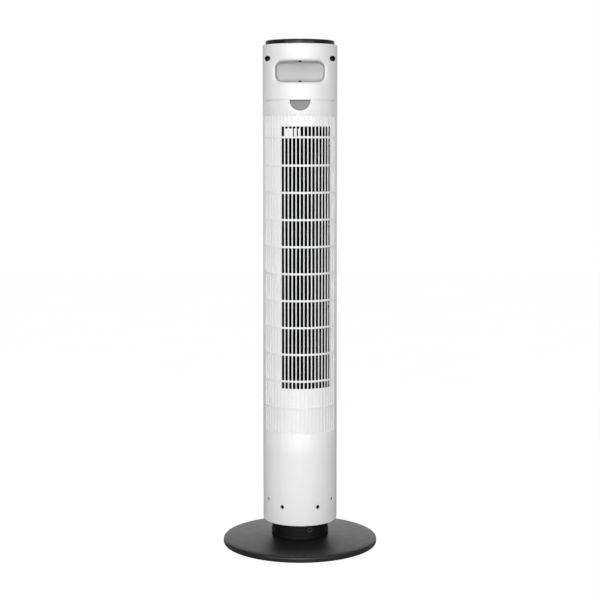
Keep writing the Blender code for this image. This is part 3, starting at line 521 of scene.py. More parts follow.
def groove_lines(grooves, ends, per_metre, extra=()):
    """Grid lines across a run of grooves, as {place: share of the groove's depth}.

    grooves are (low, high) pairs. per_metre turns the edge round's metres into this axis's unit.
    """
    soft = EDGE_ROUND * per_metre
    lines = {ends[0]: 0.0, ends[1]: 0.0}
    for start, stop in grooves:
        for edge, side in ((start, 1), (stop, -1)):
            lines[edge - side * soft] = 0.0
            lines[edge - side * soft * 0.35] = 0.10
            lines[edge] = 0.38
            lines[edge + side * soft * 0.35] = 1.0
    for place, share in extra:
        lines[place] = share
    return sorted(lines.items())


def filled(lines, widest):
    """The same lines, with more between any two that lie further apart than widest."""
    made = [lines[0]]
    for place, share in lines[1:]:
        last, last_share = made[-1]
        count = math.ceil((place - last) / widest) if last_share == share == 0.0 else 1
        made.extend((last + (place - last) * i / count, 0.0) for i in range(1, count))
        made.append((place, share))
    return made


def ribbed_panel(name, middle, half_angle, bottom, top, groove_count, cells, window, window_height):
    """A curved panel with upright grooves that are cut right through inside a window."""
    degrees = 180 / math.pi / BODY_RADIUS
    first = -(groove_count - 1) * SLOT_PITCH / 2
    half = SLOT_HALF_WIDTH * degrees
    middles = [first + i * SLOT_PITCH for i in range(groove_count)]
    across = groove_lines([(m - half, m + half) for m in middles], (-half_angle, half_angle), degrees)
    across = filled(across, 2.0)
    inside = [(height, 1.0) for height in window_height if cells[0][0] < height < cells[-1][1]]
    upright = groove_lines(cells, (bottom, top), 1.0, inside)
    low_end, high_end = window_height

    def inner_radius(azimuth, height):
        """The ribs are thinner than the rest of the panel where the window is."""
        clear = window[0] < azimuth < window[1] and low_end - 0.002 < height < high_end + 0.002
        return BODY_RADIUS - (RIB_THICKNESS if clear else PANEL_THICKNESS)

    bm = bmesh.new()
    faces = []
    grid = []
    for azimuth, share in across:
        column = []
        for height, other in upright:
            radius = BODY_RADIUS - GROOVE_DEPTH * min(share, other)
            outer_vert = bm.verts.new(at(middle + azimuth, radius, height))
            inner = inner_radius(azimuth, height)
            column.append((outer_vert, bm.verts.new(at(middle + azimuth, inner, height))))
        grid.append(column)

    def is_open(i, j):
        if not (0 <= i < len(across) - 1 and 0 <= j < len(upright) - 1):
            return True
        floor = across[i][1] == across[i + 1][1] == upright[j][1] == upright[j + 1][1] == 1.0
        azimuth = (across[i][0] + across[i + 1][0]) / 2
        height = (upright[j][0] + upright[j + 1][0]) / 2
        return floor and window[0] < azimuth < window[1] and low_end < height < high_end

    for i in range(len(across) - 1):
        for j in range(len(upright) - 1):
            if is_open(i, j):
                continue
            corners = (grid[i][j], grid[i + 1][j], grid[i + 1][j + 1], grid[i][j + 1])
            faces.append([c[0] for c in corners])
            faces.append([c[1] for c in reversed(corners)])
            neighbours = ((i, j - 1, 0, 1), (i + 1, j, 1, 2), (i, j + 1, 2, 3), (i - 1, j, 3, 0))
            for column, row, start, stop in neighbours:
                if is_open(column, row):
                    faces.append((corners[stop][0], corners[start][0], corners[start][1], corners[stop][1]))
    for corners in faces:
        bm.faces.new(corners)
    loose = [vert for vert in bm.verts if not vert.link_faces]
    bmesh.ops.delete(bm, geom=loose, context="VERTS")
    return finished_mesh(name, bm, 50.0)


def corner_cutters(name):
    """Steps that take the square corners off the rear panel's top.

    Each tool is radial, with a round inside.
    """
    steps = []
    half = math.radians(PANEL_HALF_ANGLE) * BODY_RADIUS
    top, corner = PANEL_TOP, PANEL_CORNER
    for side in (-1, 1):
        points = [(half + 0.002, 0.002)]
        for i in range(13):
            turn = math.pi / 2 * i / 12
            points.append((half - corner * (1 - math.cos(turn)), corner * (math.sin(turn) - 1)))
        points.append((half - corner, 0.002))
        bm = bmesh.new()
        rows = []
        for radius in (0.066, 0.090):
            row = []
            for across, rise in points:
                azimuth = side * math.degrees(across / BODY_RADIUS)
                row.append(bm.verts.new(at(azimuth, radius, top + rise)))
            rows.append(row)
        for i in range(len(points)):
            j = (i + 1) % len(points)
            bm.faces.new((rows[0][i], rows[0][j], rows[1][j], rows[1][i]))
        bm.faces.new(rows[0])
        bm.faces.new(rows[1])
        steps.append(("DIFFERENCE", finished_mesh(f"{name}_{side}", bm)))
    return steps


def cells_between(bottom, top, bars):
    """(low, high) of each row of grooves, from the lowest, between horizontal bars."""
    inside = [bar for bar in bars if bottom < bar < top]
    highs = sorted([bar - BAR_HEIGHT / 2 for bar in inside] + [top])
    lows = sorted([bar + BAR_HEIGHT / 2 for bar in inside] + [bottom])
    return list(zip(lows, highs))


def make_rear_grille():
    bars = [BAR_TOP_CENTRE - i * BAR_PITCH for i in range(11)]
    bars[0] += TOP_BAR_LIFT
    mesh = ribbed_panel(
        "rear_grille_ribbed",
        0,
        PANEL_HALF_ANGLE,
        PANEL_BOTTOM,
        PANEL_TOP,
        REAR_GROOVES,
        cells_between(RIBS_BOTTOM, RIBS_TOP, bars),
        REAR_WINDOW,
        (WINDOW_BOTTOM, WINDOW_TOP),
    )
    notch = Matrix.Translation((0, 0, PANEL_TOP)) @ outward(0)
    screw = Matrix.Translation((0, 0, GRILLE_SCREW_HEIGHT)) @ outward(0)
    steps = [
        ("DIFFERENCE", rods("finger_notch", [notch], NOTCH_RADIUS, 0.060, 0.090, 96)),
        *corner_cutters("grille_corner"),
        ("UNION", rods("screw_boss", [screw], 0.0056, 0.0715, BODY_RADIUS - 0.0001, 48)),
        ("DIFFERENCE", rods("screw_counterbore", [screw], 0.0049, 0.0724, 0.090, 48)),
    ]
    mesh = boolean_mesh("rear_grille_ribbed", mesh, steps, 50.0)
    add_piece("rear_grille_ribbed", mesh, "white_plastic", "tower", "rear_grille")


def make_outlet_grille():
    bars = [BAR_TOP_CENTRE - i * BAR_PITCH * 3 for i in range(4)]
    mesh = ribbed_panel(
        "outlet_grille_ribbed",
        180,
        OUTLET_HALF_ANGLE,
        OUTLET_BOTTOM,
        OUTLET_TOP,
        OUTLET_GROOVES,
        cells_between(WINDOW_BOTTOM, WINDOW_TOP, bars),
        OUTLET_WINDOW,
        (WINDOW_BOTTOM, WINDOW_TOP),
    )
    add_piece("outlet_grille_ribbed", mesh, "white_plastic", "tower", "outlet_grille")


# ---------------------------------------------------------------- housings


def housing_outline():
    inner = BODY_RADIUS - WALL
    corners = [
        (inner, BODY_BOTTOM, False),
        (BODY_RADIUS, BODY_BOTTOM, True),
        (BODY_RADIUS, BODY_TOP, True),
        (0.0600, BODY_TOP, False),
        (0.0600, BODY_TOP - WALL, False),
        (inner, BODY_TOP - WALL, False),
    ]
    top_round = [corner for corner in rounded(corners, 0.0016, 5)]
    return top_round


def opening_steps(name, middle, half_angle, bottom, top):
    """Cuts a grille's seat, with its backing ledge left behind it."""
    ledge = band(0.0702, BODY_RADIUS - 0.0015, bottom - 0.006, top + 0.006)
    window = band(0.060, 0.080, bottom + 0.006, top - 0.006)
    edge = half_angle + 0.3
    seat = band(0.0722, 0.080, bottom - CLOSE_SEAM, top + SEAM)
    wide = half_angle + 3
    narrow = half_angle - 3
    return [
        ("UNION", sector(name + "_ledge", ledge, middle - wide, middle + wide, 2.9)),
        ("DIFFERENCE", sector(name + "_window", window, middle - narrow, middle + narrow, 3.1)),
        ("DIFFERENCE", sector(name + "_seat", seat, middle - edge, middle + edge, 1.7)),
    ]


def prism_along_y(name, loop, height, front, back):
    rings = [[Vector((p.x, y, height + p.y)) for p in loop] for y in (front, back)]
    bm = bmesh.new()
    rows = [[bm.verts.new(point) for point in ring] for ring in rings]
    for i in range(len(loop)):
        j = (i + 1) % len(loop)
        bm.faces.new((rows[0][i], rows[0][j], rows[1][j], rows[1][i]))
    bm.faces.new(rows[0])
    bm.faces.new(rows[1])
    return finished_mesh(name, bm)


def upper_wells():
    along_y = Matrix.Rotation(math.radians(90), 4, "X")
    return [Matrix.Translation((side * UPPER_WELL[0], 0, UPPER_WELL[1])) @ along_y for side in (-1, 1)]


def lower_wells():
    places = [(side * azimuth, height) for azimuth, height in LOWER_WELLS for side in (-1, 1)]
    return [Matrix.Translation((0, 0, height)) @ outward(azimuth) for azimuth, height in places]


def make_rear_housing():
    shell = sector("rear_shell", housing_outline(), -96, 96)
    steps = opening_steps("rear", 0, PANEL_HALF_ANGLE, PANEL_BOTTOM, PANEL_TOP)
    recess_size = (2 * NOTCH_RADIUS + 0.002, 0.014, 0.034)
    recess_place = (0, -(NOTCH_FLOOR_RADIUS + 0.0072), PANEL_TOP + SEAM - recess_size[2] / 2)
    steps += [
        ("DIFFERENCE", box_mesh("notch_recess", recess_size, recess_place)),
        ("DIFFERENCE", prism_along_y("lip_hole", rounded_loop(*LIP_OUTER), HANDLE_HEIGHT, -0.090, -0.030)),
        ("DIFFERENCE", rods("upper_holes", upper_wells(), UPPER_WELL[2], 0.015, 0.090)),
        ("DIFFERENCE", rods("lower_holes", lower_wells(), LOWER_WELL_RADIUS, 0.068, 0.090)),
    ]
    mesh = boolean_mesh("rear_shell", shell, steps)
    add_piece("rear_shell", mesh, "white_plastic", "tower", "rear_housing")


def make_seat_corners():
    """Fills the square corners of the rear panel's seat, so that they follow the panel's round ones."""
    edge = math.radians(PANEL_HALF_ANGLE + 0.3) * BODY_RADIUS
    top = PANEL_TOP + SEAM
    corner = PANEL_CORNER + 0.0002
    for side, name in ((-1, "left"), (1, "right")):
        bm = bmesh.new()
        columns = []
        for i in range(17):
            turn = math.pi / 2 * i / 16
            azimuth = side * math.degrees((edge - corner * (1 - math.sin(turn)) + 0.0002) / BODY_RADIUS)
            lower = top - corner * (1 - math.cos(turn))
            heights = (lower, top + 0.0005)
            columns.append([bm.verts.new(at(azimuth, r, z)) for r in (0.0716, BODY_RADIUS) for z in heights])
        for first, second in zip(columns, columns[1:]):
            for a, b in ((0, 1), (1, 3), (3, 2), (2, 0)):
                bm.faces.new((first[a], first[b], second[b], second[a]))
        for end in (columns[0], columns[-1]):
            bm.faces.new((end[0], end[1], end[3], end[2]))
        mesh = finished_mesh(f"seat_corner_{name}", bm)
        add_piece(f"seat_corner_{name}", mesh, "white_plastic", "tower", "rear_housing")


def make_front_housing():
    shell = sector("front_shell", housing_outline(), 96.25, 263.75)
    steps = opening_steps("outlet", 180, OUTLET_HALF_ANGLE, OUTLET_BOTTOM, OUTLET_TOP)
    lens_low, lens_high = low("display_lens"), high("display_lens")
    half = math.degrees(math.asin(lens_high.x / lens_high.y)) + 0.3
    lens = band(0.060, 0.080, lens_low.z - 0.0003, lens_high.z + 0.0003)
    steps.append(("DIFFERENCE", sector("lens_hole", lens, 180 - half, 180 + half)))
    mesh = boolean_mesh("front_shell", shell, steps)
    add_piece("front_shell", mesh, "white_plastic", "tower", "front_housing")


def mix(first, second, t):
    return first + (second - first) * t


def lip_point(point, depth):
    radius = BODY_RADIUS - depth
    return Vector((point.x, -math.sqrt(radius**2 - point.x**2), HANDLE_HEIGHT + point.y))


def make_handle_notch_shades():
    """Black half-round discs in the middle of the hand recess's upper and lower edges: painted shade of the
    screw notches there.
    """
    for i, side in enumerate((-1, 1)):
        place = Matrix.Translation((0, 0, HANDLE_HEIGHT + side * LIP_INNER[1])) @ outward(0)
        corners = [(0.0, 0.0686), (HANDLE_SHADE_RADIUS, 0.0686), (HANDLE_SHADE_RADIUS, 0.0704), (0.0, 0.0704)]
        mesh = lathe(f"handle_notch_shade_{i + 1}", corners, 40, place)
        add_piece(f"handle_notch_shade_{i + 1}", mesh, "black_matt", "tower")


def make_handle_lip():
    """The soft lip round the hand recess, rolled from the wall's surface into the opening."""
    steps = 12
    loops = []
    for i in range(steps + 1):
        t = math.sin(i / steps * math.pi / 2)
        size = [mix(outer, inner, t) for outer, inner in zip(LIP_OUTER, LIP_INNER)]
        depth = LIP_STEP + LIP_DEPTH * (1 - math.cos(i / steps * math.pi / 2))
        loops.append([lip_point(point, depth) for point in rounded_loop(*size)])
    loops.append([lip_point(point, LIP_DEPTH + 0.0016) for point in rounded_loop(*LIP_INNER)])
    add_piece("handle_lip", loft("handle_lip", loops, angle=60.0), "white_plastic", "tower", "rear_housing")


def make_handle_pocket():
    """The hand recess: its sides lean in to a back wall, with soft corners all round."""
    mouth = [size - 0.0004 for size in LIP_INNER]
    mouth_depth = LIP_DEPTH + 0.0006
    loops = []
    for inset in (-0.0022, 0.0):
        size = [value - inset for value in mouth]
        loops.append([lip_point(point, mouth_depth) for point in rounded_loop(*size)])
    steps = 10
    fillet = 0.0055
    for i in range(1, steps + 1):
        t = i / steps
        size = [mix(a, b + fillet * 0.6, t) for a, b in zip(mouth, POCKET_BACK)]
        flat_y = mix(-0.060, POCKET_BACK_Y - fillet, t)
        loop = []
        for point in rounded_loop(*size):
            curved = lip_point(point, mouth_depth)
            loop.append(Vector((point.x, mix(curved.y, flat_y, min(1.0, 0.1 + 0.9 * t)), curved.z)))
        loops.append(loop)
    for i in range(1, 9):
        turn = i / 8 * math.pi / 2
        size = [b + fillet * 0.6 - fillet * (1 - math.cos(turn)) for b in POCKET_BACK]
        flat_y = POCKET_BACK_Y - fillet + fillet * math.sin(turn)
        loops.append([Vector((p.x, flat_y, HANDLE_HEIGHT + p.y)) for p in rounded_loop(*size)])
    mesh = loft("handle_pocket", loops, cap=True, angle=60.0)
    # The recess's darker white is painted shade.
    add_piece("handle_pocket", mesh, "textured_white_with_painted_shade", "tower", "handle_insert")


def make_notch_cup():
    """The floor and the half-round wall of the finger notch, behind the grille's edge. Its grey is painted
    shade: the recess is white plastic in shadow.
    """
    floor_y = -NOTCH_FLOOR_RADIUS
    count = 36
    radius = NOTCH_RADIUS + 0.0008
    rim, foot = [], []
    for i in range(count + 1):
        turn = math.pi + math.pi * i / count
        x = radius * math.cos(turn)
        z = PANEL_TOP + SEAM + radius * math.sin(turn)
        rim.append(Vector((x, -math.sqrt((BODY_RADIUS - 0.0022) ** 2 - x * x), z)))
        foot.append(Vector((x * 0.96, floor_y, mix(z, PANEL_TOP + SEAM, 0.04))))
    bm = bmesh.new()
    upper = [bm.verts.new(point) for point in rim]
    lower = [bm.verts.new(point) for point in foot]
    for i in range(count):
        bm.faces.new((upper[i], upper[i + 1], lower[i + 1], lower[i]))
    bm.faces.new(lower)
    mesh = finished_mesh("notch_cup", bm, 40.0)
    add_piece("notch_cup", mesh, "painted_shade_grey", "tower", "rear_housing")


def make_well_shade_liners():
    """Dark sleeves that line the screw wells, down to each screw: painted shade that makes the deep wells
    read black.
    """
    places = [(place, UPPER_WELL[2], 0.0135, 0.036) for place in upper_wells()]
    places += [(place, LOWER_WELL_RADIUS, 0.0672, 0.0724) for place in lower_wells()]
    for i, (place, radius, floor, mouth) in enumerate(places):
        outline = [
            (radius + 0.0006, floor),
            (radius + 0.0006, mouth),
            (radius - 0.0001, mouth),
            (radius - 0.0003, floor + 0.0004),
            (0.0018, floor + 0.0004),
        ]
        mesh = lathe(f"well_shade_liner_{i + 1}", outline, 40, place, closed=False)
        add_piece(f"well_shade_liner_{i + 1}", mesh, "black_inner_and_painted_shade", "tower", "rear_housing")


# ---------------------------------------------------------------- screws


def bar_cutter(name, size, bottom, top, turn):
    """One bar of a cross recess."""
    bm = bmesh.new()
    place = Matrix.Rotation(math.radians(turn), 4, "Z") @ Matrix.Translation((0, 0, (bottom + top) / 2))
    bmesh.ops.create_cube(bm, size=1.0, matrix=place @ Matrix.Diagonal((size, size * 0.24, top - bottom, 1)))
    return finished_mesh(name, bm)


def screw_mesh(name, head_radius, head_height, shank_radius, shank_length):
    """A pan head screw with a cross recess and a thread. Its head sits on z = 0."""
    outline = [(0.0, head_height)]
    for i in range(1, 9):
        turn = i / 8 * math.pi / 2
        outline.append((head_radius * math.sin(turn), head_height * (0.35 + 0.65 * math.cos(turn))))
    outline += [(head_radius, 0.0), (shank_radius * 0.8, 0.0)]
    pitch = 0.0009
    turns = int(shank_length / pitch)
    for i in range(turns):
        outline.append((shank_radius, -pitch * (i + 0.5)))
        outline.append((shank_radius * 0.78, -pitch * (i + 1)))
    outline.append((0.0, -shank_length - shank_radius))
    head = lathe(name, outline, 32)
    steps = []
    for turn in (0, 90):
        bar = bar_cutter(f"{name}_bar_{turn}", head_radius * 1.15, head_height * 0.35, head_height * 2, turn)
        steps.append(("DIFFERENCE", bar))
    return boolean_mesh(name, head, steps)


def placed(mesh, matrix):
    copy = mesh.copy()
    copy.transform(matrix)
    return copy


def add_screws(names, shape, body, toward, finish="zinc_steel"):
    """Fine screws in the places of the frame's plain ones. toward gives each head's outward direction."""
    for name in names:
        lowest, highest = low(name), high(name)
        direction = toward(name, (lowest + highest) / 2)
        turn = direction.to_track_quat("Z", "Y").to_matrix().to_4x4()
        points = [vert.co for vert in NODES[name].data.vertices]
        depth = max(point.dot(direction) for point in points)
        middle = sum(points, Vector()) / len(points)
        seat = middle + direction * (depth - shape[1] - middle.dot(direction))
        mesh = placed(SCREWS[shape], Matrix.Translation(seat) @ turn)
        add_piece(name + "_fine", mesh, finish, body, name)


def radial(name, middle):
    return Vector((middle.x, middle.y, 0)).normalized()


def rearward(name, middle):
    return Vector((0, -1, 0))


def downward(name, middle):
    return Vector((0, 0, -1))


UPPER_SCREW = (0.0040, 0.0026, 0.0015, 0.0130)
LOWER_SCREW = (0.0031, 0.0020, 0.0015, 0.0055)
GRILLE_SCREW = (0.0040, 0.0013, 0.0015, 0.0120)
HANDLE_SCREW = (0.0025, 0.0018, 0.0012, 0.0080)
DUCT_SCREW = (0.0040, 0.0022, 0.0015, 0.0110)
NECK_SCREW = (0.0040, 0.0025, 0.0018, 0.0090)
SCREWS = {
    shape: screw_mesh(f"screw_{i}", *shape)
    for i, shape in enumerate((UPPER_SCREW, LOWER_SCREW, GRILLE_SCREW, HANDLE_SCREW, DUCT_SCREW, NECK_SCREW))
}


def make_screws():
    add_screws(["housing_screw_1", "housing_screw_2"], UPPER_SCREW, "tower", rearward, "dark_steel")
    add_screws([f"housing_screw_{i}" for i in range(3, 7)], LOWER_SCREW, "tower", radial, "dark_steel")
    add_screws(["grille_screw"], GRILLE_SCREW, "tower", rearward)
    add_screws(["handle_screw_1", "handle_screw_2"], HANDLE_SCREW, "tower", rearward)
    add_screws([f"duct_screw_{i}" for i in range(1, 5)], DUCT_SCREW, "tower", rearward)
    add_screws([f"neck_screw_{i}" for i in range(1, 4)], NECK_SCREW, "base", downward)


# ---------------------------------------------------------------- base, neck and top


def make_base():
    plate_radius = high("base_weight").x + 0.0003
    plate_top = high("base_weight").z + 0.0003
    bottom = low("base_cover").z
    corners = [
        (0.0, BASE_TOP, False),
        (0.0660, BASE_TOP, True),
        (0.1000, 0.0162, True),
        (0.1490, 0.0132, True),
        (BASE_RADIUS, 0.0118, True),
        (BASE_RADIUS, bottom, True),
        (plate_radius, bottom, False),
        (plate_radius, plate_top, False),
        (0.0, plate_top, False),
    ]
    outline = rounded(corners, 0.0035, 8)
    add_piece("base_disc", lathe("base_disc", outline, 192), "black_satin", "base", "base_cover")
    NODES["base_weight"].data.materials[0] = MATERIALS["painted_steel"]


def make_feet():
    for i in range(1, 6):
        node = f"rubber_foot_{i}"
        lowest, highest = low(node), high(node)
        centre = (lowest + highest) / 2
        radius = (highest.x - lowest.x) / 2
        corners = [
            (0.0, highest.z, False),
            (radius, highest.z, True),
            (radius, lowest.z, True),
            (radius * 0.55, lowest.z, True),
            (radius * 0.50, lowest.z + 0.0006, True),
            (0.0, lowest.z + 0.0006, False),
        ]
        place = Matrix.Translation((centre.x, centre.y, 0))
        mesh = lathe(node + "_soft", rounded(corners, 0.0006, 3), 48, place)
        add_piece(node + "_soft", mesh, "rubber", "base", node)


def make_neck():
    radius = 0.0570
    corners = [
        (0.0126, NECK_TOP, False),
        (radius, NECK_TOP, True),
        (radius, 0.0324, False),
        (radius + 0.0007, 0.0320, True),
        (radius + 0.0010, 0.0314, True),
        (radius + 0.0010, 0.0268, True),
        (radius + 0.0006, 0.0264, False),
        (radius + 0.0008, BASE_TOP + 0.0004, True),
        (0.0400, BASE_TOP + 0.0003, False),
        (0.0400, 0.0228, False),
        (radius - WALL, 0.0228, False),
        (radius - WALL, NECK_TOP - 0.003, False),
        (0.0165, NECK_TOP - 0.003, False),
        (0.0165, 0.0290, False),
        (0.0126, 0.0290, False),
    ]
    neck = lathe("neck_turned", rounded(corners, 0.0008, 4), 160, closed=True)
    grommet = (low("cord_grommet") + high("cord_grommet")) / 2
    azimuth = math.degrees(math.atan2(grommet.x, -grommet.y))
    place = Matrix.Translation((0, 0, grommet.z)) @ outward(azimuth)
    mesh = boolean_mesh("neck_turned", neck, [("DIFFERENCE", rods("gland", [place], 0.0043, 0.050, 0.062))])
    add_piece("neck_turned", mesh, "black_matt", "base", "neck")
    outline = [
        (0.0028, radius + 0.0016, True),
        (0.0052, radius + 0.0015, True),
        (0.0052, radius + 0.0003, False),
        (0.0040, radius + 0.0003, False),
        (0.0040, radius - 0.0031, False),
        (0.0052, radius - 0.0031, True),
        (0.0052, radius - 0.0045, True),
        (0.0028, radius - 0.0045, True),
    ]
    mesh = lathe("grommet_ring", rounded(outline, 0.0005, 3), 48, place, closed=True)
    add_piece("grommet_ring", mesh, "rubber", "base", "cord_grommet")


def make_top():
    bottom = low("top_panel").z
    plate_top = TOP_HEIGHT - 0.0008
    groove = (bottom + TOP_HEIGHT) / 2
    corners = [
        (0.0, plate_top, False),
        (0.0500, plate_top, True),
        (0.0520, TOP_HEIGHT, True),
        (TOP_RADIUS - 0.0018, TOP_HEIGHT, True),
        (TOP_RADIUS, TOP_HEIGHT - 0.0022, True),
        (TOP_RADIUS, groove + 0.0007, False),
        (TOP_RADIUS - 0.0008, groove + 0.0002, False),
        (TOP_RADIUS - 0.0008, groove - 0.0002, False),
        (TOP_RADIUS, groove - 0.0007, False),
        (TOP_RADIUS, bottom, False),
        (0.0590, bottom, False),
        (0.0590, plate_top - 0.0029, False),
        (0.0, plate_top - 0.0029, False),
    ]
    disc = lathe("control_top", rounded(corners, 0.0012, 6), 160)
    places = []
    for i in range(1, 5):
        centre = (low(f"button_{i}") + high(f"button_{i}")) / 2
        places.append(Matrix.Translation((centre.x, centre.y, 0)))
    holes = rods("key_holes", places, 0.0060, 1.012, 1.030, 48)
    mesh = boolean_mesh("control_top", disc, [("DIFFERENCE", holes)])
    add_piece("control_top", mesh, "black_gloss", "tower", "top_panel")
    for i, place in enumerate(places):
        node = f"button_{i + 1}"
        top = high(node).z
        skirt = plate_top - 0.0032
        outline = [
            (0.0, top - 0.0004, False),
            (0.0030, top - 0.0003, True),
            (0.0046, top, True),
            (0.0055, top - 0.0008, True),
            (0.0055, skirt, False),
            (0.0068, skirt, False),
            (0.0068, skirt - 0.0015, False),
            (0.0020, skirt - 0.0015, False),
            (0.0020, low(node).z, False),
            (0.0, low(node).z, False),
        ]
        mesh = lathe(node + "_cap", rounded(outline, 0.0005, 3), 48, place)
        add_piece(node + "_fine", mesh, "key_grey", node + "_cap", node)


def make_lens():
    lens_low, lens_high = low("display_lens"), high("display_lens")
    half = math.degrees(math.asin(lens_high.x / lens_high.y))
    corners = [
        (0.0727, lens_low.z, False),
        (0.0749, lens_low.z, True),
        (0.0749, lens_high.z, True),
        (0.0727, lens_high.z, False),
    ]
    mesh = sector("display_window", rounded(corners, 0.0008, 4), 180 - half, 180 + half, 1.5)
    add_piece("display_window", mesh, "lens_tint", "tower", "display_lens")


# ---------------------------------------------------------------- fan wheel and duct


def make_impeller():
    """Forward-curved blades between thin discs, with a hub at each end."""
    bottom, top = FAN_LOW.z + 0.007, FAN_HIGH.z - 0.008
    blades = 28
    inner, outer = FAN_RADIUS - 0.0085, FAN_RADIUS - 0.0004
    thickness = 0.0009
    bm = bmesh.new()
    for i in range(blades):
        base_turn = 2 * math.pi * i / blades
        curve = []
        for k in range(6):
            t = k / 5
            radius = mix(inner, outer, t)
            turn = base_turn + 0.20 * math.sin(t * math.pi / 2)
            x = FAN_AXIS[0] + radius * math.cos(turn)
            y = FAN_AXIS[1] + radius * math.sin(turn)
            curve.append(Vector((x, y, 0)))
        sides = []
        for k, point in enumerate(curve):
            ahead = curve[min(k + 1, 5)] - curve[max(k - 1, 0)]
            across = Vector((-ahead.y, ahead.x, 0)).normalized() * thickness / 2
            sides.append((point + across, point - across))
        ring = [pair[0] for pair in sides] + [pair[1] for pair in reversed(sides)]
        lower = [bm.verts.new(point + Vector((0, 0, bottom + 0.001))) for point in ring]
        upper = [bm.verts.new(point + Vector((0, 0, top - 0.001))) for point in ring]
        for k in range(len(ring)):
            n = (k + 1) % len(ring)
            bm.faces.new((lower[k], lower[n], upper[n], upper[k]))
    mesh = finished_mesh("fan_blades", bm)
    add_piece("fan_blades", mesh, "black_inner_and_painted_shade", "fan_wheel", "impeller")
    on_axis = Matrix.Translation((*FAN_AXIS, 0))
    pitch = (top - bottom) / 6
    for i in range(1, 6):
        middle = bottom + i * pitch
        corners = [(inner - 0.0010, middle + 0.001), (FAN_RADIUS, middle + 0.001)]
        corners += [(FAN_RADIUS, middle - 0.001), (inner - 0.0010, middle - 0.001)]
        mesh = lathe(f"fan_ring_{i}", corners, 72, on_axis, closed=True)
        add_piece(f"fan_ring_{i}", mesh, "black_matt", "fan_wheel", "impeller")
    for name, disc, hub, sign in (("lower", bottom, FAN_LOW.z, 1), ("upper", top, FAN_HIGH.z, -1)):
        corners = [
            (0.0, disc + sign * 0.002, False),
            (FAN_RADIUS, disc + sign * 0.002, True),
            (FAN_RADIUS, disc, True),
            (0.0120, disc, True),
            (0.0090, hub, True),
            (0.0043, hub, False),
        ]
        mesh = lathe(f"fan_end_{name}", rounded(corners, 0.0006, 3), 72, on_axis)
        add_piece(f"fan_end_{name}", mesh, "black_matt", "fan_wheel", "impeller")


def make_duct_bosses():
    """The round screw bosses whose pale rims show at the edge of the intake."""
    turn = Matrix.Rotation(math.radians(90), 4, "X")
    for i in range(4):
        place = Matrix.Translation((BOSS_X, 0, BOSS_TOP_HEIGHT - i * 3 * BAR_PITCH)) @ turn
        corners = [
            (0.0054, 0.0220, False),
            (0.0054, 0.0335, True),
            (0.0067, 0.0335, True),
            (0.0067, 0.0220, False),
        ]
        mesh = lathe(f"duct_boss_{i + 1}", rounded(corners, 0.0004, 3), 48, place, closed=True)
        add_piece(f"duct_boss_{i + 1}", mesh, "white_plastic", "tower")


def make_bracket_covers():
    """The white end of the bearing bracket, just behind the grille: a block, its catch and a thin lug."""
    bottom, top = low("bearing_bracket").z, high("bearing_bracket").z
    corners = [(0.0699, bottom, False), (0.0716, bottom, True), (0.0716, top, True), (0.0699, top, False)]
    for i, (start, end) in enumerate(BRACKET_COVERS):
        mesh = sector(f"bracket_cover_{i + 1}", rounded(corners, 0.0006, 3), start, end, 1.2)
        add_piece(f"bracket_cover_{i + 1}", mesh, "white_plastic", "tower")


def make_outlet_shade_sheets():
    """Dark plates just inside the outlet, one above the fan wheel and a strip along one side: painted shade
    where there is only shadow inside the duct.
    """
    plates = (
        ("outlet_shade_sheet", FAN_HIGH.z - 0.030, 180 - 32, 180 + 32),
        ("outlet_shade_strip", FAN_LOW.z, 146, 158),
    )
    top = WINDOW_TOP - 0.001
    for name, bottom, start, end in plates:
        corners = [(radius, bottom, True) for radius in SHADE_SHEET_RADII]
        corners += [(radius, top, True) for radius in reversed(SHADE_SHEET_RADII)]
        mesh = sector(name, rounded(corners, 0.0004, 3), start, end)
        add_piece(name, mesh, "black_inner_and_painted_shade", "tower")


def dress_nodes():
    """Materials of the frame's own nodes that show as they are."""
    finishes = {
        "black_inner_and_painted_shade": [
            "bearing_bracket",
            "scroll_wall",
            "vortex_wall",
            "duct_floor",
            "duct_ceiling",
            "chassis_plate",
        ],
        "acetal": ["gear_ring", "swivel_bearing", "drive_pinion"],
        "zinc_steel": ["pivot_retainer"],
        "brushed_shaft": ["motor_shaft"],
        "painted_steel": ["base_weight"],
        "dark_steel": ["bearing_shaft"],
        "motor_metal": ["fan_motor", "oscillation_motor"],
        "bronze": ["bearing_bush"],
        "rubber": ["motor_damper"],
        "circuit_board": ["power_board", "display_board", "control_board"],
    }
    for finish, names in finishes.items():
        for name in names:
            mesh = NODES[name].data
            mesh.materials.clear()
            mesh.materials.append(MATERIALS[finish])


# ---------------------------------------------------------------- camera, light and floor


def aim(thing, target):
    thing.rotation_euler = (Vector(target) - thing.location).to_track_quat("-Z", "Y").to_euler()


def make_camera():
    data = bpy.data.cameras.new("camera")
    data.sensor_width = 36.0
    data.lens = 85.6
    data.shift_y = -0.06575
    camera = bpy.data.objects.new("camera", data)
    camera.location = (0.0, -2.884, 0.825)
    camera.rotation_euler = (math.radians(90 - 4.83), 0.0, 0.0)
    bpy.context.scene.collection.objects.link(camera)
    bpy.context.scene.camera = camera


def area_light(name, azimuth, distance, height, target, size, power, shows=("diffuse", "glossy")):
    data = bpy.data.lights.new(name, "AREA")
    data.shape = "RECTANGLE"
    data.size, data.size_y = size
    data.energy = power
    light = bpy.data.objects.new(name, data)
    light.location = at(azimuth, distance, height)
    light.visible_diffuse = "diffuse" in shows
    light.visible_glossy = "glossy" in shows
    aim(light, (0, 0, target))
    bpy.context.scene.collection.objects.link(light)


def background_node(tree, strength):
    node = tree.nodes.new("ShaderNodeBackground")
    node.inputs["Color"].default_value = (1, 1, 1, 1)
    node.inputs["Strength"].default_value = strength
    return node.outputs["Background"]


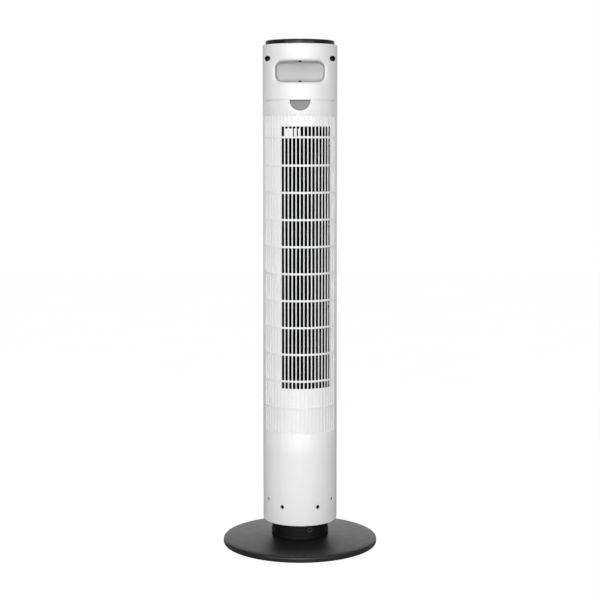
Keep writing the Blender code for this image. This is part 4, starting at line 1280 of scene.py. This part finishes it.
def make_world():
    """A white room. What the camera sees of it is pure white, and what lights the fan is dimmer."""
    world = bpy.data.worlds.new("studio")
    bpy.context.scene.world = world
    world.use_nodes = True
    tree = world.node_tree
    path = tree.nodes.new("ShaderNodeLightPath")
    blend = tree.nodes.new("ShaderNodeMixShader")
    tree.links.new(path.outputs["Is Camera Ray"], blend.inputs["Fac"])
    tree.links.new(background_node(tree, ROOM_LIGHT), blend.inputs[1])
    tree.links.new(background_node(tree, 1.0), blend.inputs[2])
    tree.links.new(blend.outputs["Shader"], tree.nodes["World Output"].inputs["Surface"])


def make_lights():
    area_light("key_above", *KEY_LIGHT)
    area_light("fill_low", *LOW_LIGHT, ("diffuse",))
    area_light("sheen_centre", 0, 3.2, 0.75, 0.60, (1.2, 3.2), SHEEN_CENTRE, ("glossy",))
    for side in (-1, 1):
        area_light(f"sheen_{side}", side * 34, 3.2, 0.75, 0.60, (1.5, 3.2), SHEEN_SIDE, ("glossy",))
    area_light("floor_glow", 180, 2.2, 0.55, 0.02, (4.0, 0.9), BACK_GLOW, ("glossy",))


def make_floor():
    bm = bmesh.new()
    bmesh.ops.create_grid(bm, x_segments=1, y_segments=1, size=6.0)
    mesh = finished_mesh("floor", bm)
    floor = bpy.data.objects.new("floor", mesh)
    floor.location.z = -0.0004
    bpy.context.scene.collection.objects.link(floor)
    made = Shader("pale_floor")
    made.colour(made.noise(3.0, 2.0), (0.10, 0.10, 0.10), (0.11, 0.11, 0.11))
    made.principled.inputs["Specular IOR Level"].default_value = 0.0
    made.principled.inputs["Emission Color"].default_value = (1, 1, 1, 1)
    path = made.tree.nodes.new("ShaderNodeLightPath")
    glow = made.tree.nodes.new("ShaderNodeMapRange")
    glow.inputs["To Min"].default_value = FLOOR_LIGHT
    glow.inputs["To Max"].default_value = FLOOR_SEEN
    made.tree.links.new(path.outputs["Is Camera Ray"], glow.inputs["Value"])
    made.tree.links.new(glow.outputs["Result"], made.principled.inputs["Emission Strength"])
    mesh.materials.append(made.material)


bpy.context.scene.view_settings.view_transform = "Standard"
make_camera()
make_world()
make_lights()
make_floor()
make_base()
make_feet()
make_neck()
make_rear_housing()
make_seat_corners()
make_front_housing()
make_handle_lip()
make_handle_notch_shades()
make_handle_pocket()
make_notch_cup()
make_well_shade_liners()
make_rear_grille()
make_outlet_grille()
make_screws()
make_top()
make_lens()
make_impeller()
make_duct_bosses()
make_bracket_covers()
make_outlet_shade_sheets()
dress_nodes()
